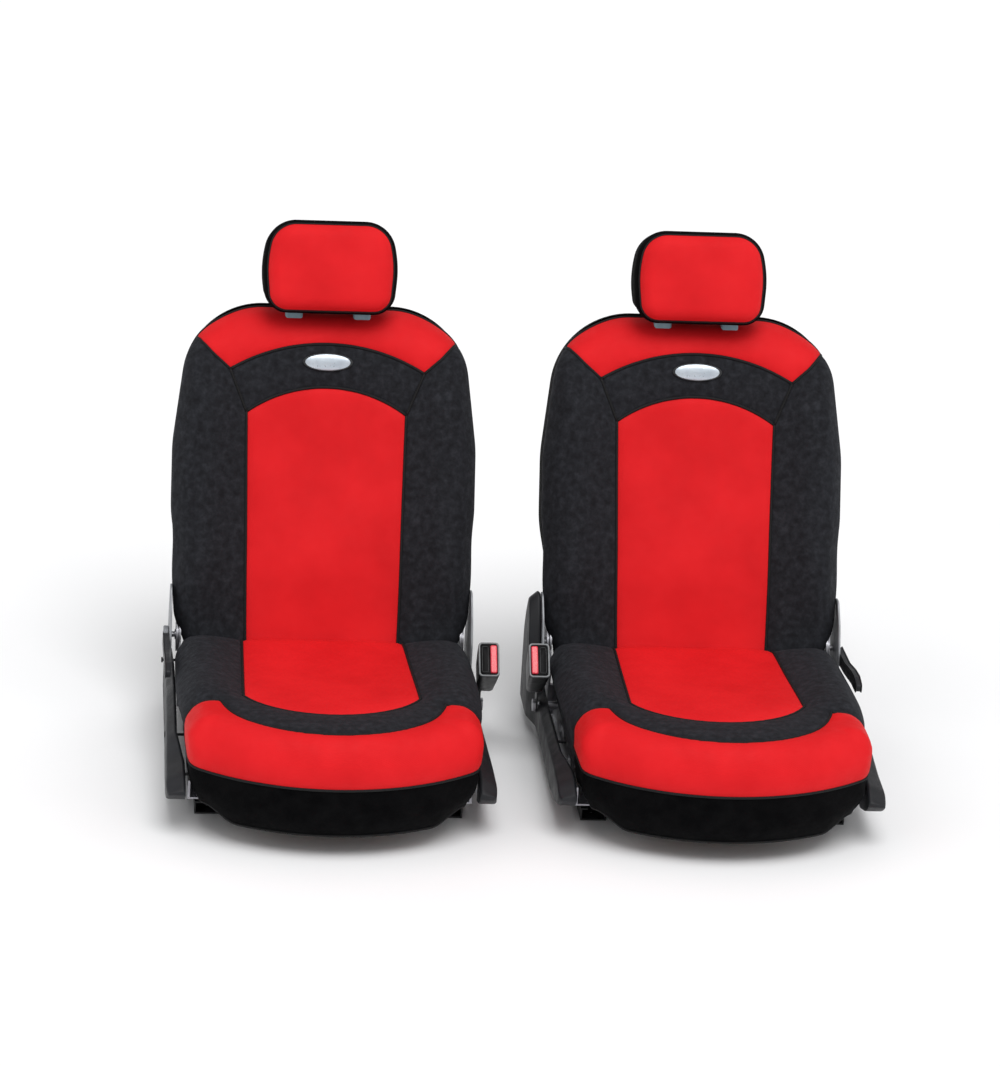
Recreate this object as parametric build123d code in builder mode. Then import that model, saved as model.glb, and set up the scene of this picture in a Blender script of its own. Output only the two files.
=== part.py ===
from build123d import *
import math
import os

# Row of two front vehicle seats dressed in a fitted cover set.
# Millimetres, +Z up, the seats face -Y. Every seat is drawn in its own frame
# (x across the seat, floor at z = 0, inboard side = +x) and then placed.

os.makedirs("parts", exist_ok=True)

# ---- row ----
seat_pitch = 656.0
row_shift_y = 65.775

# ---- cushion ----
cushion_rear_y = 69.0
cushion_top_rear_z = 175.0
cushion_slope = 4.0
cushion_half_width = 249.0
cushion_rear_half_width = 246.0
cushion_front_half_width = 243.0
cushion_corner_y = -420.0
cushion_wide_y = -210.0
nose_y = -515.0
nose_z = 134.0
skirt_y = -497.0
skirt_bottom_z = 36.0
cushion_bottom_z = 97.0
pad_front_y = -402.0
nose_start_y = -452.0
cushion_edge_radius = 30.0
section_lift = 0.6
cover_thickness = 3.0

# ---- backrest ----
back_angle = 20.8
back_foot_y = 75.0
back_foot_z = 165.0
back_depth = 112.0
back_top_s = 595.0
crown_radius = 85.0
pivot_s = 5.5
pivot_t = 56.0
back_front_radius = 32.0
back_rear_radius = 26.0
rear_seam_t = 54.0

# ---- headrest ----
headrest_half_width = 120.0
headrest_bottom_s = 570.0
headrest_top_s = 738.0
headrest_front_t = -44.0
headrest_rear_t = 52.0
headrest_seam_t = 6.0
post_x = 60.0
post_t = 28.0
post_radius = 6.0
post_fit = 0.05

# ---- floor and frame ----
rail_x = 205.0
track_half_width = 22.0
track_wall = 2.5
track_base = 3.0
track_height = 22.0
slot_half_width = 10.0
track_front_y = -312.0
track_rear_y = 250.0
track_hole_radius = 4.5
track_hole_front_y = -280.0
track_hole_rear_y = 205.0
rail_front_y = -262.0
rail_rear_y = 92.0
rail_top_z = 35.0
rail_fit = 0.05
frame_top_z = 90.0
frame_plate_x = 236.0
plate_thickness = 4.0
bracket_x = 246.0
bracket_thickness = 3.0
arm_x = 250.0
arm_thickness = 4.0
stud_radius = 9.0
stud_fit = 0.05
tube_radius = 11.0

# ---- side trims ----
trim_inner_x = 258.0
outer_trim_x = 278.0
inner_trim_x = 272.0
trim_wall = 3.0
lever_pocket_x = 266.0

# ---- belt buckle ----
buckle_x = 279.0
buckle_y = -57.0
buckle_z = 189.0
buckle_tilt = 47.0
buckle_width = 58.0
buckle_thickness = 30.0
buckle_length = 85.0
anchor_y = 10.0
anchor_z = 78.0
button_fit = 0.05

# ---- recline lever and slide bar ----
lever_shaft_radius = 5.0
lever_fit = 0.05
bar_radius = 6.0
bar_x = 165.0
bar_pivot_y = -262.0
bar_pivot_z = 70.0
bar_front_y = -384.0
bar_front_z = 52.0
bar_sleeve_radius = 15.5
sleeve_fit = 0.05

slope_sin = math.sin(math.radians(back_angle))
slope_cos = math.cos(math.radians(back_angle))
reach = 330.0

back_plane = Plane(
    origin=(0, back_foot_y, back_foot_z),
    x_dir=(1, 0, 0),
    z_dir=(0, -slope_cos, slope_sin),
)
post_plane = Plane(
    origin=(0, back_foot_y + post_t * slope_cos, back_foot_z - post_t * slope_sin),
    x_dir=(1, 0, 0),
    z_dir=(0, slope_sin, slope_cos),
)


def back_point(s, t):
    """Seat-frame (y, z) of a point s up the backrest face and t behind it."""
    return (
        back_foot_y + s * slope_sin + t * slope_cos,
        back_foot_z + s * slope_cos - t * slope_sin,
    )


pivot_y, pivot_z = back_point(pivot_s, pivot_t)
crown_s = back_top_s - crown_radius
crown_end_s = crown_s + math.sqrt(crown_radius**2 - (back_depth - crown_radius) ** 2)


def top_z(y):
    """Height of the cushion's top at a given y."""
    return cushion_top_rear_z + (cushion_rear_y - y) * math.tan(math.radians(cushion_slope))


# ------------------------------------------------------------------
# soft outer shapes, each drawn with an inset so that covers and foam
# nest exactly
# ------------------------------------------------------------------
def cushion_shape(inset):
    half_rear = cushion_rear_half_width - inset
    half_mid = cushion_half_width - inset
    half_front = cushion_front_half_width - inset
    with BuildPart() as shape:
        with BuildSketch(Plane.XY.offset(skirt_bottom_z)):
            with BuildLine():
                Line((-half_rear, cushion_rear_y), (half_rear, cushion_rear_y))
                ThreePointArc(
                    (half_rear, cushion_rear_y),
                    (half_mid, cushion_wide_y),
                    (half_front, cushion_corner_y),
                )
                ThreePointArc(
                    (half_front, cushion_corner_y),
                    (0, nose_y + inset),
                    (-half_front, cushion_corner_y),
                )
                ThreePointArc(
                    (-half_front, cushion_corner_y),
                    (-half_mid, cushion_wide_y),
                    (-half_rear, cushion_rear_y),
                )
            make_face()
            fillet(vertices().group_by(Axis.Y)[-1], 24)
            fillet(vertices().sort_by(Axis.Y)[0:2], 46 - inset)
        extrude(amount=190)
        with BuildSketch(Plane.YZ):
            with BuildLine():
                rear = cushion_rear_y - inset
                low = cushion_bottom_z + inset
                Polyline(
                    (rear, low),
                    (rear, top_z(rear) - inset),
                    (nose_start_y, top_z(nose_start_y) - inset),
                )
                nose = TangentArc(
                    (nose_start_y, top_z(nose_start_y) - inset),
                    (nose_y + inset, nose_z),
                    tangent=(-1, 0.07),
                )
                TangentArc(
                    (nose_y + inset, nose_z),
                    (skirt_y + inset, skirt_bottom_z + inset),
                    tangent=nose % 1,
                )
                Polyline(
                    (skirt_y + inset, skirt_bottom_z + inset),
                    (pad_front_y - inset, skirt_bottom_z + inset),
                    (pad_front_y - inset, low),
                    (rear, low),
                )
            make_face()
            fillet(vertices().sort_by(Axis.Y)[-1:], 14 - inset)
        extrude(amount=reach, both=True, mode=Mode.INTERSECT)
        section = Plane(
            origin=(0, cushion_rear_y + 40, top_z(cushion_rear_y + 40)),
            x_dir=(1, 0, 0),
            z_dir=(0, -math.cos(math.radians(cushion_slope)), math.sin(math.radians(cushion_slope))),
        )
        with BuildSketch(section):
            with Locations((0, section_lift - inset)):
                RectangleRounded(
                    2 * (cushion_half_width - inset),
                    500,
                    cushion_edge_radius - inset,
                    align=(Align.CENTER, Align.MAX),
                )
        extrude(amount=700, mode=Mode.INTERSECT)
    return shape.part


def rounded_outline(corners):
    """Symmetric front outline from (x, s, corner radius) of its right half."""
    right = [(x, s) for x, s, _ in corners]
    left = [(-x, s) for x, s in reversed(right)]
    with BuildSketch() as outline:
        with BuildLine():
            Polyline(*right, *left, close=True)
        make_face()
        for x, s, radius in corners:
            pair = [v for v in outline.vertices() if abs(abs(v.X) - x) + abs(v.Y - s) < 0.01]
            fillet(pair, radius)
    return outline.sketch


back_corners = (
    (232, -60, 58),
    (243, 88, 300),
    (267, 220, 260),
    (267, 345, 300),
    (236, back_top_s, 140),
)
headrest_corners = (
    (112, headrest_bottom_s, 40),
    (headrest_half_width, headrest_bottom_s + 92, 200),
    (105, headrest_top_s, 54),
)


def back_shape(inset):
    with BuildPart() as shape:
        with BuildSketch(back_plane.offset(-inset)):
            add(rounded_outline(back_corners))
            if inset:
                offset(amount=-inset, mode=Mode.REPLACE)
        extrude(amount=-(back_depth - 2 * inset))
        face_axis = Axis((0, 0, 0), (0, -slope_cos, slope_sin))
        fillet(shape.faces().sort_by(face_axis)[-1].edges(), back_front_radius - inset)
        fillet(shape.faces().sort_by(face_axis)[0].edges(), back_rear_radius - inset)
        with BuildSketch(Plane.YZ):
            with BuildLine():
                Line(back_point(pivot_s, 0), back_point(crown_s, 0))
                ThreePointArc(
                    back_point(crown_s, 0),
                    back_point(crown_s + 0.8 * crown_radius, 0.4 * crown_radius),
                    back_point(crown_end_s, back_depth),
                )
                Line(back_point(crown_end_s, back_depth), back_point(pivot_s, back_depth))
                ThreePointArc(
                    back_point(pivot_s, back_depth),
                    back_point(pivot_s - pivot_t, pivot_t),
                    back_point(pivot_s, 0),
                )
            make_face()
            if inset:
                offset(amount=-inset, mode=Mode.REPLACE)
        extrude(amount=reach, both=True, mode=Mode.INTERSECT)
    return shape.part


def headrest_shape(inset):
    with BuildPart() as shape:
        with BuildSketch(back_plane.offset(-headrest_front_t - inset)):
            add(rounded_outline(headrest_corners))
            if inset:
                offset(amount=-inset, mode=Mode.REPLACE)
        depth = headrest_rear_t - headrest_front_t
        extrude(amount=-(depth - 2 * inset))
        face_axis = Axis((0, 0, 0), (0, -slope_cos, slope_sin))
        fillet(shape.faces().sort_by(face_axis)[-1].edges(), 30 - inset)
        fillet(shape.faces().sort_by(face_axis)[0].edges(), 34 - inset)
        with BuildSketch(Plane.YZ):
            with BuildLine():
                Polyline(
                    back_point(headrest_bottom_s - 18, -60),
                    back_point(headrest_bottom_s + 17.5, 14),
                    back_point(headrest_bottom_s + 20, 70),
                    back_point(headrest_top_s + 40, 70),
                    back_point(headrest_top_s + 40, -60),
                    close=True,
                )
            make_face()
            if inset:
                offset(amount=-inset, mode=Mode.REPLACE)
        extrude(amount=reach, both=True, mode=Mode.INTERSECT)
    return shape.part


def hollow(outer, inner):
    """Cover skin: the outer soft shape less the foam it is drawn over."""
    with BuildPart() as skin:
        add(outer)
        add(inner, mode=Mode.SUBTRACT)
    return skin.part


def keep(solid, region):
    with BuildPart() as kept:
        add(solid)
        add(region, mode=Mode.INTERSECT)
    return kept.part


def drop(solid, *regions):
    with BuildPart() as rest:
        add(solid)
        for region in regions:
            add(region, mode=Mode.SUBTRACT)
    return rest.part


# ------------------------------------------------------------------
# steel: floor tracks, upper rails, cushion frame, seat pan
# ------------------------------------------------------------------
with BuildPart() as lower_track:
    with BuildSketch(Plane.XZ.offset(-track_rear_y)):
        inner_half = track_half_width - track_wall
        with BuildLine():
            Polyline(
                (-track_half_width, 0),
                (track_half_width, 0),
                (track_half_width, track_height),
                (slot_half_width, track_height),
                (slot_half_width, track_height - track_wall),
                (inner_half, track_height - track_wall),
                (inner_half, track_base),
                (-inner_half, track_base),
                (-inner_half, track_height - track_wall),
                (-slot_half_width, track_height - track_wall),
                (-slot_half_width, track_height),
                (-track_half_width, track_height),
                close=True,
            )
        make_face()
    extrude(amount=track_rear_y - track_front_y)
    with Locations((0, track_hole_front_y, 0), (0, track_hole_rear_y, 0)):
        Cylinder(track_hole_radius, 4 * track_base, mode=Mode.SUBTRACT)

with BuildPart() as upper_rail:
    foot_half = track_half_width - track_wall - rail_fit
    foot_top = track_height - track_wall - rail_fit
    stem_half = 7.0
    flange_half = 20.0
    with BuildSketch(Plane.XZ.offset(-rail_rear_y)):
        with BuildLine():
            Polyline(
                (-foot_half, track_base + rail_fit),
                (-foot_half + 6, track_base + rail_fit),
                (-foot_half + 6, foot_top - 6),
                (foot_half - 6, foot_top - 6),
                (foot_half - 6, track_base + rail_fit),
                (foot_half, track_base + rail_fit),
                (foot_half, foot_top),
                (stem_half, foot_top),
                (stem_half, rail_top_z - 3),
                (flange_half, rail_top_z - 3),
                (flange_half, rail_top_z),
                (-flange_half, rail_top_z),
                (-flange_half, rail_top_z - 3),
                (-stem_half, rail_top_z - 3),
                (-stem_half, foot_top),
                (-foot_half, foot_top),
                close=True,
            )
        make_face()
    extrude(amount=rail_rear_y - rail_front_y)

with BuildPart() as upper_tracks:
    with Locations((-rail_x, 0, 0), (rail_x, 0, 0)):
        add(upper_rail.part)

frame_front_y = -330.0
bracket_front_y = 76.0
bracket_rear_y = 192.0
lobe_radius = 38.0
trim_boss_front = (-320.0, 76.0)
trim_boss_mid = (-150.0, 76.0)
trim_boss_rear = (172.0, 84.0)

with BuildPart() as frame_side:
    # upright plate, foot flange, recliner bracket and its pivot stud, +x side
    with BuildSketch(Plane.YZ.offset(frame_plate_x)):
        with BuildLine():
            Polyline(
                (frame_front_y, rail_top_z),
                (bracket_front_y + 8, rail_top_z),
                (bracket_front_y + 8, frame_top_z),
                (frame_front_y + 40, frame_top_z),
                (frame_front_y, frame_top_z - 22),
                close=True,
            )
        make_face()
        with Locations((-230, 64), (-80, 64)):
            SlotOverall(70, 26, mode=Mode.SUBTRACT)
    extrude(amount=plate_thickness)
    with BuildSketch(Plane.XY.offset(rail_top_z)):
        with BuildLine():
            Polyline(
                (rail_x - 18, frame_front_y),
                (frame_plate_x + plate_thickness, frame_front_y),
                (frame_plate_x + plate_thickness, bracket_front_y - 10),
                (bracket_x + bracket_thickness, bracket_front_y),
                (bracket_x + bracket_thickness, bracket_rear_y),
                (rail_x - 18, bracket_rear_y),
                close=True,
            )
        make_face()
    extrude(amount=3)
    with BuildSketch(Plane.YZ.offset(bracket_x)):
        with BuildLine():
            Polyline(
                (bracket_front_y, rail_top_z),
                (bracket_rear_y, rail_top_z),
                (bracket_rear_y, 100),
                (pivot_y + lobe_radius, pivot_z),
                (pivot_y - lobe_radius, pivot_z),
                (bracket_front_y, 110),
                close=True,
            )
        make_face()
        with Locations((pivot_y, pivot_z)):
            Circle(lobe_radius)
    extrude(amount=bracket_thickness)
    with BuildSketch(Plane.XY.offset(rail_top_z)):
        with Locations((bracket_x - 3, bracket_front_y + 4)):
            Rectangle(14, 8)
    extrude(amount=frame_top_z - rail_top_z)
    with Locations(Location((bracket_x, pivot_y, pivot_z), (0, 90, 0))):
        Cylinder(stud_radius, 10, align=(Align.CENTER, Align.CENTER, Align.MIN))

with BuildPart() as cushion_frame:
    add(frame_side.part)
    mirror(about=Plane.YZ)
    for tube_y, tube_z in ((bar_pivot_y, bar_pivot_z), (40.0, bar_pivot_z)):
        with Locations(Location((0, tube_y, tube_z), (0, 90, 0))):
            Cylinder(tube_radius, 2 * frame_plate_x + 2)
    anchor_boss = Location((frame_plate_x, anchor_y, anchor_z), (0, 90, 0))
    with Locations(anchor_boss):
        Cylinder(7, 39.5, align=(Align.CENTER, Align.CENTER, Align.MIN))
    with Locations(Location((frame_plate_x + 43, anchor_y, anchor_z), (0, 90, 0))):
        Cylinder(11, 5, align=(Align.CENTER, Align.CENTER, Align.MIN))
    with Locations(anchor_boss):
        Cylinder(5, 44, align=(Align.CENTER, Align.CENTER, Align.MIN))
    # shaft end that carries the hand lever, outboard side
    with Locations(Location((-bracket_x - 2, pivot_y, pivot_z), (0, -90, 0))):
        Cylinder(lever_shaft_radius, outer_trim_x - bracket_x - 3,
                 align=(Align.CENTER, Align.CENTER, Align.MIN))

pan_top_z = frame_top_z + 4.0
with BuildPart() as seat_pan:
    with BuildSketch(Plane.XY.offset(frame_top_z)):
        with Locations((0, -168)):
            RectangleRounded(462, 440, 40)
        with GridLocations(120, 110, 3, 3):
            with Locations((0, -168)):
                SlotOverall(70, 30, mode=Mode.SUBTRACT)
    extrude(amount=4)
    with BuildSketch(Plane.XY.offset(frame_top_z - 16)):
        with Locations((0, -386)):
            Rectangle(380, 3)
    extrude(amount=16)

# ------------------------------------------------------------------
# cushion: foam and the four cover panels
# ------------------------------------------------------------------
cushion_outer = cushion_shape(0)
cushion_inner = cushion_shape(cover_thickness)
with BuildPart() as cushion_foam:
    add(cushion_inner)
cushion_skin_all = hollow(cushion_outer, cushion_inner)

with BuildPart() as open_underside:
    # the cover is open below; its edge is turned under the foam
    with BuildSketch(Plane.XY.offset(cushion_bottom_z - 5)):
        with Locations((0, -165)):
            RectangleRounded(430, 410, 30)
    extrude(amount=8)
cushion_skin = drop(cushion_skin_all, open_underside.part)

with BuildPart() as cushion_centre_region:
    with BuildSketch(Plane.XY.offset(150)):
        with BuildLine():
            Line((-140, cushion_rear_y + 5), (140, cushion_rear_y + 5))
            Line((140, cushion_rear_y + 5), (149, -269))
            ThreePointArc((149, -269), (0, -362), (-149, -269))
            Line((-149, -269), (-140, cushion_rear_y + 5))
        make_face()
    extrude(amount=90)

with BuildPart() as cushion_roll_region:
    with BuildSketch(Plane.XY.offset(nose_z)):
        with BuildLine():
            Line((-300, -560), (300, -560))
            Line((300, -560), (300, -311))
            Line((300, -311), (188, -311))
            ThreePointArc((188, -311), (0, -456), (-188, -311))
            Polyline((-188, -311), (-300, -311), (-300, -560))
        make_face()
    extrude(amount=120)

with BuildPart() as cushion_skirt_region:
    with BuildSketch(Plane.XY.offset(skirt_bottom_z - 1)):
        with Locations((0, -311)):
            Rectangle(600, 260, align=(Align.CENTER, Align.MAX))
    extrude(amount=nose_z - skirt_bottom_z + 1)

cushion_centre = keep(cushion_skin, cushion_centre_region.part)
cushion_roll = keep(cushion_skin, cushion_roll_region.part)
cushion_skirt = keep(cushion_skin, cushion_skirt_region.part)
cushion_band = drop(
    cushion_skin,
    cushion_centre_region.part,
    cushion_roll_region.part,
    cushion_skirt_region.part,
)

# ------------------------------------------------------------------
# backrest: frame, foam, cover panels, badge, post guides
# ------------------------------------------------------------------
guide_bottom_s = 478.0
guide_flange_s = 560.0
guide_flange_top_s = 583.0
guide_radius = 10.0
arm_top_s = 78.0

with BuildPart() as back_frame:
    upright_x = 205.0
    tube_t = 63.0
    tube_path_plane = back_plane.offset(-tube_t)
    with BuildLine(tube_path_plane) as tube_path:
        FilletPolyline(
            (upright_x, 34),
            (upright_x, 500),
            (-upright_x, 500),
            (-upright_x, 34),
            radius=60,
        )
    start_plane = Plane(
        origin=tube_path.line @ 0, z_dir=tube_path.line % 0
    )
    with BuildSketch(start_plane):
        Circle(tube_radius)
    sweep(path=tube_path.line)
    with BuildSketch(tube_path_plane):
        with Locations((0, 34)):
            Rectangle(2 * upright_x + 20, 26)
    extrude(amount=6, both=True)
    with BuildSketch(tube_path_plane):
        with Locations((-post_x, 500), (post_x, 500)):
            Rectangle(34, 30)
    extrude(amount=tube_t - post_t + 14)
    with Locations(post_plane.offset(guide_bottom_s)):
        with Locations((-post_x, 0), (post_x, 0)):
            Cylinder(guide_radius, 160, align=(Align.CENTER, Align.CENTER, Align.MIN), mode=Mode.SUBTRACT)
    for side in (-1, 1):
        # recliner arm outside the cover, its pivot eye and the two through bolts
        with BuildSketch(Plane.YZ.offset(side * arm_x)):
            with BuildLine():
                Polyline(
                    back_point(pivot_s, pivot_t - 30),
                    back_point(arm_top_s, pivot_t - 18),
                    back_point(arm_top_s + 10, pivot_t),
                    back_point(arm_top_s, pivot_t + 18),
                    back_point(pivot_s, pivot_t + 30),
                    close=True,
                )
            make_face()
            with Locations((pivot_y, pivot_z)):
                Circle(30)
                Circle(stud_radius + stud_fit, mode=Mode.SUBTRACT)
        extrude(amount=side * arm_thickness)
        for bolt_s in (pivot_s + 44, arm_top_s - 4):
            bolt_y, bolt_z = back_point(bolt_s, pivot_t)
            with Locations(Location((side * (upright_x - 6), bolt_y, bolt_z), (0, side * 90, 0))):
                Cylinder(6, arm_x - upright_x + 12, align=(Align.CENTER, Align.CENTER, Align.MIN))

back_outer = back_shape(0)
back_inner = back_shape(cover_thickness)

with BuildPart() as post_bores:
    with Locations(post_plane.offset(350)):
        with Locations((-post_x, 0), (post_x, 0)):
            Cylinder(guide_radius, 260, align=(Align.CENTER, Align.CENTER, Align.MIN))

with BuildPart() as post_guide_solids:
    with Locations(post_plane.offset(guide_bottom_s)):
        with Locations((-post_x, 0), (post_x, 0)):
            Cylinder(guide_radius, guide_flange_s - guide_bottom_s + 2,
                     align=(Align.CENTER, Align.CENTER, Align.MIN))
    with BuildSketch(post_plane.offset(guide_flange_s)):
        with Locations((-post_x, 0), (post_x, 0)):
            RectangleRounded(31, 20, 5)
    extrude(amount=guide_flange_top_s - guide_flange_s)
    with Locations(post_plane.offset(guide_bottom_s - 5)):
        with Locations((-post_x, 0), (post_x, 0)):
            Cylinder(post_radius + post_fit, 160,
                     align=(Align.CENTER, Align.CENTER, Align.MIN), mode=Mode.SUBTRACT)

with BuildPart() as guide_seats:
    with BuildSketch(post_plane.offset(guide_flange_s)):
        with Locations((-post_x, 0), (post_x, 0)):
            RectangleRounded(31, 20, 5)
    extrude(amount=40)

back_foam_solid = drop(back_inner, back_frame.part, post_bores.part, guide_seats.part)
back_skin = drop(
    hollow(back_outer, back_inner), back_frame.part, post_bores.part, guide_seats.part
)

centre_bottom_s = -60.0
with BuildPart() as front_half:
    with BuildSketch(back_plane.offset(-rear_seam_t)):
        with Locations((0, 270)):
            Rectangle(700, 800)
    extrude(amount=90)

with BuildPart() as back_centre_region:
    with BuildSketch(back_plane.offset(20)):
        with BuildLine():
            Polyline((-141, 400), (-134, centre_bottom_s), (134, centre_bottom_s), (141, 400))
            ThreePointArc((141, 400), (0, 446), (-141, 400))
        make_face()
    extrude(amount=-(rear_seam_t + 20))

with BuildPart() as back_yoke_region:
    with BuildSketch(back_plane.offset(20)):
        with BuildLine():
            Line((-141, 400), (-171, 474))
            ThreePointArc((-171, 474), (0, 522), (171, 474))
            Line((171, 474), (141, 400))
            ThreePointArc((141, 400), (0, 446), (-141, 400))
        make_face()
    extrude(amount=-(rear_seam_t + 20))

with BuildPart() as back_shoulder_region:
    with BuildSketch(back_plane.offset(20)):
        with BuildLine():
            ThreePointArc((-171, 474), (0, 522), (171, 474))
            Polyline((171, 474), (224, 525), (300, 600), (300, 640), (-300, 640), (-300, 600),
                     (-224, 525), (-171, 474))
        make_face()
    extrude(amount=-(rear_seam_t + 20))

back_front_skin = keep(back_skin, front_half.part)
back_rear = drop(back_skin, front_half.part)
back_centre = keep(back_front_skin, back_centre_region.part)
back_yoke = keep(back_front_skin, back_yoke_region.part)
back_shoulder = keep(back_front_skin, back_shoulder_region.part)
back_bolsters = drop(
    back_front_skin,
    back_centre_region.part,
    back_yoke_region.part,
    back_shoulder_region.part,
)

badge_s = 490.0
with BuildPart() as badge:
    with BuildSketch(back_plane):
        with Locations((0, badge_s)):
            Ellipse(44, 15.5)
    extrude(amount=2.4)
    fillet(badge.faces().sort_by(Axis((0, 0, 0), (0, -slope_cos, slope_sin)))[-1].edges(), 1.2)

# ------------------------------------------------------------------
# headrest: posts, foam, front and rear cover halves
# ------------------------------------------------------------------
post_bottom_s = 430.0
post_top_s = 690.0
with BuildPart() as headrest_posts:
    with BuildLine(back_plane.offset(-post_t)) as post_path:
        FilletPolyline(
            (-post_x, post_bottom_s),
            (-post_x, post_top_s),
            (post_x, post_top_s),
            (post_x, post_bottom_s),
            radius=24,
        )
    with BuildSketch(post_plane.offset(post_bottom_s)):
        with Locations((-post_x, 0)):
            Circle(post_radius)
    sweep(path=post_path.line)

headrest_outer = headrest_shape(0)
headrest_inner = headrest_shape(cover_thickness)
headrest_foam_solid = drop(headrest_inner, headrest_posts.part)
headrest_skin = drop(hollow(headrest_outer, headrest_inner), headrest_posts.part)
with BuildPart() as headrest_front_region:
    with BuildSketch(back_plane.offset(-headrest_seam_t)):
        with Locations((0, 660)):
            Rectangle(400, 400)
    extrude(amount=90)
headrest_front = keep(headrest_skin, headrest_front_region.part)
headrest_rear = drop(headrest_skin, headrest_front_region.part)

# ------------------------------------------------------------------
# side trims, screws, belt buckle, recline lever, slide bar
# ------------------------------------------------------------------
outer_trim_profile = [
    (-408, 88), (-398, 66), (-340, 44), (-240, 26), (150, 26), (184, 60), (184, 150), (160, 212), (138, 246),
    (114, 246), (84, 214), (62, 168), (20, 150), (-120, 152), (-250, 130), (-330, 110), (-396, 106),
]
inner_trim_profile = [
    (-396, 84), (-384, 64), (-330, 42), (-240, 26), (150, 26), (184, 60), (184, 150), (160, 216), (134, 252),
    (118, 252), (94, 206), (66, 140), (52, 108), (30, 96), (-90, 96), (-300, 102), (-384, 104),
]
lever_pocket = [
    (154, 126), (154, 174), (122, 186), (60, 240), (-176, 240), (-176, 152), (-40, 126),
]


def trim_shell(profile, outer_x, rounding):
    with BuildPart() as trim:
        with BuildSketch(Plane.YZ.offset(trim_inner_x)):
            with BuildLine():
                Polyline(*profile, close=True)
            make_face()
            fillet(vertices(), 6)
        extrude(amount=outer_x - trim_inner_x)
        fillet(trim.faces().sort_by(Axis.X)[-1].edges(), rounding)
    return trim.part


def trim_cavity(profile, outer_x):
    with BuildPart() as cavity:
        with BuildSketch(Plane.YZ.offset(trim_inner_x)):
            with BuildLine():
                Polyline(*profile, close=True)
            make_face()
            fillet(vertices(), 6)
            offset(amount=-trim_wall - 2, mode=Mode.REPLACE)
        extrude(amount=outer_x - trim_inner_x - trim_wall)
    return cavity.part


with BuildPart() as lever_recess:
    with BuildSketch(Plane.YZ.offset(lever_pocket_x)):
        with BuildLine():
            Polyline(*lever_pocket, close=True)
        make_face()
        fillet(vertices(), 8)
    extrude(amount=40)

with BuildPart() as lever_recess_wall:
    with BuildSketch(Plane.YZ.offset(trim_inner_x - 1)):
        with BuildLine():
            Polyline(*lever_pocket, close=True)
        make_face()
        fillet(vertices(), 8)
        offset(amount=trim_wall, mode=Mode.REPLACE)
    extrude(amount=60)

with BuildPart() as outer_trim_plus:
    add(trim_shell(outer_trim_profile, outer_trim_x, 5))
    add(drop(trim_cavity(outer_trim_profile, outer_trim_x), lever_recess_wall.part), mode=Mode.SUBTRACT)
    add(lever_recess.part, mode=Mode.SUBTRACT)
    with Locations(Location((trim_inner_x - 2, pivot_y, pivot_z), (0, 90, 0))):
        Cylinder(lever_shaft_radius + 2, 12, align=(Align.CENTER, Align.CENTER, Align.MIN), mode=Mode.SUBTRACT)
    for boss_y, boss_z in (trim_boss_front, trim_boss_mid):
        with Locations(Location((frame_plate_x + plate_thickness, boss_y, boss_z), (0, 90, 0))):
            Cylinder(7, outer_trim_x - frame_plate_x - plate_thickness - 2,
                     align=(Align.CENTER, Align.CENTER, Align.MIN))
    with Locations(Location((bracket_x + bracket_thickness, *trim_boss_rear), (0, 90, 0))):
        Cylinder(7, outer_trim_x - bracket_x - bracket_thickness - 2,
                 align=(Align.CENTER, Align.CENTER, Align.MIN))
    for boss_y, boss_z in (trim_boss_front, trim_boss_mid, trim_boss_rear):
        with Locations(Location((frame_plate_x, boss_y, boss_z), (0, 90, 0))):
            Cylinder(2.5, 60, align=(Align.CENTER, Align.CENTER, Align.MIN), mode=Mode.SUBTRACT)
        with Locations(Location((outer_trim_x - 4, boss_y, boss_z), (0, 90, 0))):
            Cylinder(5, 10, align=(Align.CENTER, Align.CENTER, Align.MIN), mode=Mode.SUBTRACT)

with BuildPart() as outer_trim:
    mirror(outer_trim_plus.part, about=Plane.YZ)

with BuildPart() as inner_trim:
    add(trim_shell(inner_trim_profile, inner_trim_x, 5))
    add(trim_cavity(inner_trim_profile, inner_trim_x), mode=Mode.SUBTRACT)
    for boss_y, boss_z in (trim_boss_front, trim_boss_mid):
        with Locations(Location((frame_plate_x + plate_thickness, boss_y, boss_z), (0, 90, 0))):
            Cylinder(7, inner_trim_x - frame_plate_x - plate_thickness - 2,
                     align=(Align.CENTER, Align.CENTER, Align.MIN))
    with Locations(Location((bracket_x + bracket_thickness, *trim_boss_rear), (0, 90, 0))):
        Cylinder(7, inner_trim_x - bracket_x - bracket_thickness - 2,
                 align=(Align.CENTER, Align.CENTER, Align.MIN))
    for boss_y, boss_z in (trim_boss_front, trim_boss_mid, trim_boss_rear):
        with Locations(Location((frame_plate_x, boss_y, boss_z), (0, 90, 0))):
            Cylinder(2.5, 60, align=(Align.CENTER, Align.CENTER, Align.MIN), mode=Mode.SUBTRACT)
        with Locations(Location((inner_trim_x - 4, boss_y, boss_z), (0, 90, 0))):
            Cylinder(5, 10, align=(Align.CENTER, Align.CENTER, Align.MIN), mode=Mode.SUBTRACT)
    with Locations(Location((frame_plate_x, anchor_y, anchor_z), (0, 90, 0))):
        Cylinder(7, 60, align=(Align.CENTER, Align.CENTER, Align.MIN), mode=Mode.SUBTRACT)

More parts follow.
